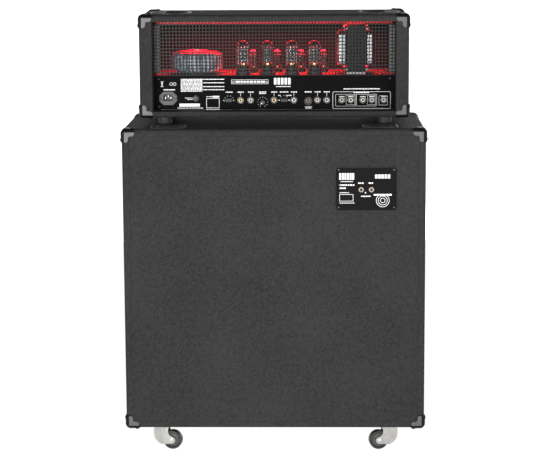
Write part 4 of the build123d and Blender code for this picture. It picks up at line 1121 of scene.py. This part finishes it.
fuse_x, fuse_z = box("rear_fittings")[1][0] - 8, JACK_Z + 6
fuse = lathe([(0, -30), (6.4, -30), (6.4, 0), (8.9, 0), (8.9, 1.6), (8.0, 2.4), (7.4, 10.6), (6.6, 11.6),
              (2.5, 11.9), (2.2, 10.4), (0, 10.4)], 36)
rib = rounded_box((7.0, -0.5, 2.5), (8.2, 0.5, 10.6), 0.3, 1)
ribs = [rib.turned(k * math.pi / 9) for k in range(18)]
make("fuse_holder", [back(joined([fuse, *ribs]), fuse_x, fuse_z, REAR)], BLACK_PLASTIC, "head",
     ["rear_fittings"])

din_x, din_z = (REAR_JACK_X[3] + REAR_JACK_X[4]) / 2 - 6.5, JACK_Z - 2.3
din_ring = lathe([(0, -16), (8.9, -16), (8.9, 0), (10.7, 0), (10.7, 1.4), (10.2, 2.0), (7.4, 2.0), (7.0, 1.5),
                  (7.0, -6), (0, -6)], 40)
key = rounded_box((-1.2, 5.6, -6), (1.2, 7.4, 1.2), 0.3, 1)
footswitch = back(joined([din_ring, key]), din_x, din_z, REAR)
make("footswitch_socket", [footswitch], BLACK_PLASTIC, "head")
hole = lathe([(0, -6.2), (0.8, -6.2), (0.8, -5.2), (0.3, -5.0), (0, -5.0)], 10)
turns = np.radians([-140, -95, -50, 0, 50, -185, 130])
holes = [hole.moved((4.4 * math.cos(a), 4.4 * math.sin(a), 0)) for a in turns]
make("footswitch_contacts", [back(joined(holes), din_x, din_z, REAR)], GOLD, "head")

bezels, bezel_screws = [], []
for name in ("rear_slider_1", "rear_slider_2"):
    x = centre(name)[0] + 2
    slot = rounded_rectangle(9.6, 4.0, 0.4)
    plate = rounded_rectangle(17, 8, 1.2)
    body_ring = rounded_rectangle(14, 7, 0.6)
    rings = [(body_ring, -10), (body_ring, 0), (plate, 0), (plate, 1.1), (plate * 0.97, 1.5), (slot, 1.5),
             (slot, -3)]
    bezels.append(back(stacked(rings, caps=True), x, JACK_Z, REAR))
    bezel_screws += [back(screw_head(1.5, 0.6), x + s * 13, JACK_Z, REAR) for s in BOTH]
make("slide_switch_bezels", bezels, BLACK_STEEL, "head")
make("slide_switch_screws", bezel_screws, NICKEL, "head")


# ------------------------------------------------------------------ knobs
def knob_shape(radius, length, flutes, skirt):
    """A turned cap whose radius ripples as a cosine of the angle, on a plain skirt."""
    angle = np.linspace(0, 2 * np.pi, flutes * 6, endpoint=False)[None]
    profile = np.array([
        (1.0, 0.0), (1.0, skirt), (0.93, skirt + 0.6), (0.9, skirt + 0.8), (0.86, length - 1.6),
        (0.82, length - 0.6), (0.74, length), (0.3, length - 0.25), (0.0, length - 0.3),
    ])
    ripple = np.array([0, 0, 0, 0.035, 0.035, 0.02, 0, 0, 0])[:, None]
    r = radius * (profile[:, :1] - ripple * (1 + np.cos(angle * flutes)) / 2)
    cap = grid(np.stack([r * np.cos(angle), r * np.sin(angle), profile[:, 1:] + 0 * angle], -1), close_v=True)
    cap.faces.append(np.arange(flutes * 6))
    return cap


def add_knob(name, turn, face, radius, length, flutes, pointer_angle):
    """A knob with its white pointer, replacing the node of the same name."""
    x, _, z = centre(name)
    line = rounded_box((radius * 0.1, -0.8, length - 0.5), (radius * 0.82, 0.8, length + 0.15), 0.12, 1)
    side = rounded_box((radius * 0.72, -0.5, 3.2), (radius * 0.9, 0.5, length + 0.1), 0.12, 1)
    mark = joined([line, side]).turned(pointer_angle)
    spindle = lathe([(0, -8), (3, -8), (3, 0.5), (0, 0.5)], 20)
    knob = knob_shape(radius, length, flutes, 2.4).moved((0, 0, 0.9))
    make(f"{name}_cap", [turn(joined([knob, spindle]), x, z, face)], KNOB_BLACK, name, [name])
    make(f"{name}_pointer", [turn(mark.moved((0, 0, 0.9)), x, z, face)], INK, name)


add_knob("rear_level_knob", back, REAR, 7.4, 12, 12, math.radians(225))
for number in range(1, 8):
    add_knob(f"front_knob_{number}", front, FRONT, 9.5, 15, 16, math.radians(90 + 18 * (number - 4)))


# ------------------------------------------------------------------ print
def bar(x_low, x_high, z_low, z_high):
    """One flat stroke of print, given between two places across and two heights, on its own XY plane."""
    x, z = sorted((x_low, x_high)), sorted((z_low, z_high))
    return prism([(x[0], z[0]), (x[1], z[0]), (x[1], z[1]), (x[0], z[1])], 0, PRINT)


def outline(x_low, x_high, z_low, z_high, line, radius=0.0):
    """A thin rectangle drawn as a closed line."""
    w, h = abs(x_high - x_low), abs(z_high - z_low)
    middle = ((x_low + x_high) / 2, (z_low + z_high) / 2, 0)
    outer = rounded_rectangle(w, h, radius + 0.01)
    inner = rounded_rectangle(w - 2 * line, h - 2 * line, max(radius - line, 0.01))
    return frame_ring(outer, inner, 0, PRINT).moved(middle)


def words(x_low, x_high, z, height, share=0.75, longest=5.0):
    """A line of small print: dashes of uneven length, drawn from the shared random numbers."""
    strokes, x = [], min(x_low, x_high)
    end = max(x_low, x_high)
    while x < end - 0.6:
        length = min(end - x, height * 0.7 + longest * rng.random())
        if rng.random() < share + 0.2:
            strokes.append(bar(x, x + length, z - height / 2, z + height / 2))
        x += length + height * 0.45
    return strokes


def dots(x, z, radius, count, start, sweep, size):
    """Round dots spaced along an arc."""
    angle = np.radians(start + sweep * np.linspace(0, 1, count))
    centres = [(x + radius * math.cos(a), z + radius * math.sin(a)) for a in angle]
    return [prism(circle(size, 10) + centre, 0, PRINT) for centre in centres]


def figures(text, height):
    """Plain numerals as flat closed shapes, centred on the origin."""
    curve = bpy.data.curves.new("figures", "FONT")
    curve.body = text
    curve.size = height * 1.4
    curve.extrude = PRINT / 2
    curve.align_x = "CENTER"
    curve.align_y = "CENTER"
    item = bpy.data.objects.new("figures", curve)
    bpy.context.scene.collection.objects.link(item)
    bpy.context.view_layer.update()
    mesh = bpy.data.meshes.new_from_object(item.evaluated_get(bpy.context.evaluated_depsgraph_get()))
    form = Form([v.co for v in mesh.vertices], [np.array(p.vertices) for p in mesh.polygons])
    bpy.data.objects.remove(item)
    bpy.data.meshes.remove(mesh)
    return form.moved((0, 0, PRINT / 2))


def rear(forms):
    """Print laid out with X as on the panel and heights from a line near the jacks, put on the rear panel."""
    flat = joined(forms)
    return [back(flat.scaled((-1, 1, 1)), 0, PRINT_Z, REAR)]


ink = []
for height in np.arange(26.5, 60, 3.4):
    ink += words(187, 243, height, 2.2, 0.95, 7.0)
for height in (30, 38, 48, 57):
    ink += words(130, 186, height, 2.0, 0.9, 9.0)
ink += [bar(194, 247, -14, -6), *words(186, 252, -17.6, 2.2, 0.95, 7.0)]
ink += words(211, 232, 8.6, 1.6) + words(211, 226, 4.6, 1.6)
ink += [bar(288, 295, 50, 51.4), bar(288, 295, 38, 39.4), bar(290, 293, 41, 49)]
ink += [frame_ring(circle(4.2, 20), circle(3.2, 20), 0, PRINT).moved((x, 45, 0)) for x in (259, 268)]
ink += words(258, 288, 30, 2.8, 0.95, 4.0)
ink.append(outline(143, 177, -17.3, 7.8, 1.0))
ink += words(143, 177, -21, 2.4, 0.9) + [bar(143, 161, 9.6, 13.8)] + words(163, 177, 12, 1.8)
ink += [outline(15.8, 111.4, 44.7, 56, 0.8), *words(24, 103, 50.4, 4.6, 1.0, 9.0)]
for x in (20, 107):
    triangle = frame_ring(circle(3.4, 3, math.pi / 2), circle(2.2, 3, math.pi / 2), 0.1, PRINT + 0.1)
    ink.append(triangle.moved((x, 49.6, 0)))
ink += [bar(x, x - 6.4, 43, 60) for x in np.arange(1, -44, -9.1)] + words(-4, -42, 37.6, 2.0, 0.95)
for x in REAR_JACK_X[:6]:
    ink += words(x - 8, x + 8, 23.5, 2.6, 0.95, 3.5) + [bar(x - 0.4, x + 0.4, 12.5, 20.5)]
for x in (30.5, -87.2, 117.7):
    ink += words(x - 9, x + 9, 23.5, 2.6, 0.95, 3.5)
ink += words(22, 40, 19.6, 2.0, 0.95, 3.5) + words(-80, -95, -19, 2.2, 0.95, 3.0)
ink += words(-78, -97, -15.5, 2.2, 0.95, 3.0)
ink += words(-14, -36, 23.5, 2.6, 0.95, 3.5) + words(-10, -22, 14.5, 2.2) + words(-30, -44, 14.5, 2.2)
ink += dots(30.5, -2.4, 12.7, 11, -60, 300, 0.75)
ink += dots(117.7, 1.5, 12.5, 6, 0, 180, 0.8)
ink += dots(-24.7, 2.9, 11.5, 5, 0, 180, 0.8)
ink.append(outline(-301, -150.9, -20.3, 24, 0.85, 3.5))
for x_low, x_high, z_low, z_high in (
    (-211.2, -158.2, -14, 17), (-208.6, -185.6, -10.6, 14.4), (-265.2, -212.2, -14, 17),
    (-262.6, -240.6, -10.6, 14.4), (-292.8, -270.6, -11.6, 13.3),
):
    ink.append(outline(x_low, x_high, z_low, z_high, 0.5, 1.6))
ink += words(-179, -273, 31, 2.4, 0.97, 8.0) + words(-205, -245, 21.5, 2.4, 0.95, 5.0)
for x in REAR_JACK_X[6:]:
    ink += words(x - 7, x + 7, 11.2, 1.7, 0.9, 3.0)
make("rear_panel_print", rear(ink), INK, "head", crease=20)

heights = (PANEL_LOW[2] + 8, PANEL_HIGH[2] - 8)
panel_screws = [back(screw_head(3.0, 1.2), x, z, REAR) for x in (-300, 300) for z in heights]
make("rear_panel_screws", panel_screws, BLACK_STEEL, "head")

ink = [bar(x, x - 4.6, 721, 738) for x in (-165.5, -172.1, -178.7, -185.3, -191.9, -198.5)]
ink += words(-168, -200, 716.5, 1.8, 0.95)
ink += [bar(x, x - 6.0, 724.2, 734.4) for x in (-256, -264, -272, -280, -288)]
ink += words(-211.8, -227, 712.4, 3.4, 1.0, 3.0) + words(-238.7, -250.9, 712.4, 3.4, 1.0, 3.0)
ink += words(-166, -203.7, 707.5, 3.6, 0.98, 4.0) + words(-166, -182, 699.5, 3.6, 0.98, 4.0)
ink += [outline(-201, -166, 666, 684, 1.0)] + words(-166, -190, 688, 1.8)
ink += words(-166, -203.7, 661.5, 1.8, 0.95, 4.0)
ink += words(-220.7, -244.6, 678.8, 3.0, 1.0, 4.0) + [bar(-230.5, -233.5, 686, 689.5)]
for r in (17, 12, 6.5):
    ink.append(frame_ring(circle(r, 36), circle(r - 1.1, 36), 0, PRINT).moved((-275.5, 668, 0)))
ink += [bar(-298, -253, 680.5, 684.5)]
plate_print = back(joined(ink).scaled((-1, 1, 1)), 0, 0, plate_face)
make("jack_plate_print", [plate_print], INK, "cabinet", crease=20)
low, high = box("jack_plate")
plate_screws = [
    back(screw_head(2.5, 1.9), x, z, plate_face)
    for x in (low[0] + 6.5, high[0] - 6.5) for z in (low[2] + 7.5, high[2] - 5.0)
]
make("jack_plate_screws", plate_screws, BRASS, "cabinet")
spread = rounded_rectangle(high[0] - low[0] + 6, high[2] - low[2] + 6, 6, 8)
ridge = np.column_stack([spread[:, 0] + (low[0] + high[0]) / 2, np.full(len(spread), CAB_HIGH[1] - 0.7),
                         spread[:, 1] + (low[2] + high[2]) / 2])
make("plate_edge_ridge", [tube(ridge, 1.4, 8, loop=True)], VINYL, "cabinet", crease=60)


# ------------------------------------------------------------------ front panel
jack_row("front_jack", [(MOUNTS["front_jack"][0], FRONT_Z)], FRONT, front, 8.4, 24, BLACK_PLASTIC, ["nickel"],
         "head", ["front_fittings"])
knob_places = [centre(f"front_knob_{n}")[0] for n in range(1, 8)]
ink = []
numerals = {n: figures(str(n), 3.6) for n in range(11)}
for x in knob_places:
    for n, shape in numerals.items():
        a = math.radians(240 - 30 * n)
        ink.append(shape.moved((x + 17.0 * math.cos(a), FRONT_Z + 17.0 * math.sin(a), 0)))
    ink += dots(x, FRONT_Z, 12.6, 11, -60, 300, 0.5)
    ink += words(x - 9, x + 9, FRONT_Z - 24.5, 2.6, 1.0, 5.0)
toggle_x, lamp_x = centre("channel_toggle")[0], 172.0
for x in (MOUNTS["front_jack"][0], toggle_x, lamp_x, 232.0, 272.0):
    ink += words(x - 8, x + 8, FRONT_Z - 24.5, 2.6, 1.0, 5.0)
ink.append(outline(-306, 306, FRONT_Z - 36, FRONT_Z + 36, 0.8, 4.0))
make("front_panel_print", [front(joined(ink), 0, 0, FRONT)], INK, "head", crease=20)

lens = lathe([(0, 0.5), (5.4, 0.5), (5.4, 5), (4.2, 7.2), (2, 7.9), (0, 8)], 32)
collar = lathe([(5.5, 0), (7, 0), (7, 2.2), (6.4, 2.8), (5.5, 2.8)], 32, loop=True)
make("pilot_lens", [front(lens, lamp_x, FRONT_Z, FRONT)], RED_LENS, "head")
make("pilot_collar", [front(collar, lamp_x, FRONT_Z, FRONT)], CHROME, "head")
frames = []
for name in ("standby_rocker", "power_rocker"):
    x = centre(name)[0]
    outer_ring, hole = rounded_rectangle(22, 30, 2.5), rounded_rectangle(15.6, 23.6, 0.6)
    rings = [(outer_ring, 0), (outer_ring, 1.3), (outer_ring * 0.97, 2.0), (hole, 2.0), (hole, -12),
             (hole * 1.15, -12), (hole * 1.15, 0)]
    frames.append(front(stacked(rings, close_u=True), x, FRONT_Z, FRONT))
make("rocker_frames", frames, BLACK_PLASTIC, "head", crease=25)
nut_profile = ((4.8, 0), (8, 0), (8, 1.6), (7.5, 2.1), (4.8, 2.1))
nut = stacked([(circle(r, 6), z) for r, z in nut_profile], close_u=True)
bush = lathe([(4.0, -1), (5.4, -1), (5.4, 5.6), (5.0, 6), (4.0, 6)], 28, loop=True)
make("toggle_bush", [front(joined([nut, bush]), toggle_x, FRONT_Z, FRONT)], CHROME, "head")
pot = lathe([(0, -17.5), (8, -17.5), (8, -8.6), (0, -8.6)], 24)
pots = [front(pot, x, FRONT_Z, FRONT) for x in knob_places]
make("control_pots", pots, ZINC, "head")


# ------------------------------------------------------------------ speaker cloth and piping
cloth_low, cloth_high = box("grille_cloth")
width, height = cloth_high[0] - cloth_low[0], cloth_high[2] - cloth_low[2]
u, v = np.meshgrid(np.linspace(-1, 1, 61), np.linspace(-1, 1, 61), indexing="ij")
roll = 3.0 * (np.clip((np.maximum(abs(u), abs(v)) - 0.985) / 0.015, 0, 1)) ** 2
slack = 0.35 * np.sin(u * 9 + v * 2) * np.cos(v * 7) * (1 - u**2) * (1 - v**2)
cloth = grid(np.stack([
    u * (width / 2 - 0.2), cloth_low[1] + 0.6 + roll + slack, v * (height / 2 - 0.2),
], -1)).moved(((cloth_low[0] + cloth_high[0]) / 2, 0, (cloth_low[2] + cloth_high[2]) / 2))
cloth_piece = make("speaker_cloth", [cloth], CLOTH, "cabinet", ["grille_cloth"], crease=80)

pipe_low, pipe_high = box("grille_piping")
middle = (pipe_low + pipe_high) / 2
loop = rounded_rectangle(pipe_high[0] - pipe_low[0] - 5, pipe_high[2] - pipe_low[2] - 5, 6, 8)
edges = []
for a, b in zip(loop, np.roll(loop, -1, 0)):
    count = max(1, round(np.linalg.norm(b - a) / 30))
    edges.append(a + (b - a) * np.linspace(0, 1, count, endpoint=False)[:, None])
loop = np.vstack(edges)
path = np.column_stack([
    loop[:, 0] + middle[0], np.full(len(loop), pipe_low[1] + 2.6), loop[:, 1] + middle[2],
])
pipe = tube(path, 2.5, 12, loop=True)
make("cloth_piping", [pipe], PIPING, "cabinet", ["grille_piping"], crease=60)


# ------------------------------------------------------------------ light and floor
def studio():
    """A round white floor that curves up into a low wall, soft lamps, and a red glow inside the head."""
    turn = np.linspace(0, np.pi / 2, 13)
    curve = np.column_stack([7500 + 1500 * np.sin(turn), 1500 - 1500 * np.cos(turn)])
    form = lathe(np.vstack([[(3000, 0)], curve, [(9000, 3000)]]), 96)
    form.faces.append(np.arange(96)[::-1])
    mesh = bpy.data.meshes.new("floor")
    mesh.from_pydata((form.points * MM).tolist(), [], [list(map(int, face))[::-1] for face in form.faces])
    mesh.polygons.foreach_set("use_smooth", np.ones(len(mesh.polygons), bool))
    mesh.materials.append(FLOOR)
    floor = bpy.data.objects.new("floor", mesh)
    bpy.context.scene.collection.objects.link(floor)
    world = bpy.data.worlds.new("studio")
    world.use_nodes = True
    sky = world.node_tree.nodes["Background"]
    sky.inputs["Color"].default_value = (1, 1, 1, 1)
    sky.inputs["Strength"].default_value = 0.08
    bpy.context.scene.world = world
    bpy.context.scene.view_settings.view_transform = "Standard"
    soft_lamp("key", (1.7, 4.3, 0.9), (0, 0, 0.6), 1.7, 120)
    soft_lamp("fill", (-2.4, 3.8, 0.9), (0, 0, 0.6), 1.7, 60)
    soft_lamp("front_fill", (-1.5, -3.6, 0.8), (0, 0, 0.6), 1.4, 60)
    bay = np.array([(HEAD_LOW[1] + HEAD_HIGH[1]) / 2, PANEL_HIGH[2], HEAD_HIGH[2] - 18]) * MM
    lamp_y = bay[0] - 0.045
    red_lamp("glow_top", (0, lamp_y, bay[2] - 0.008), (0, lamp_y, bay[1]), (0.56, 0.05), 6.5)


studio()
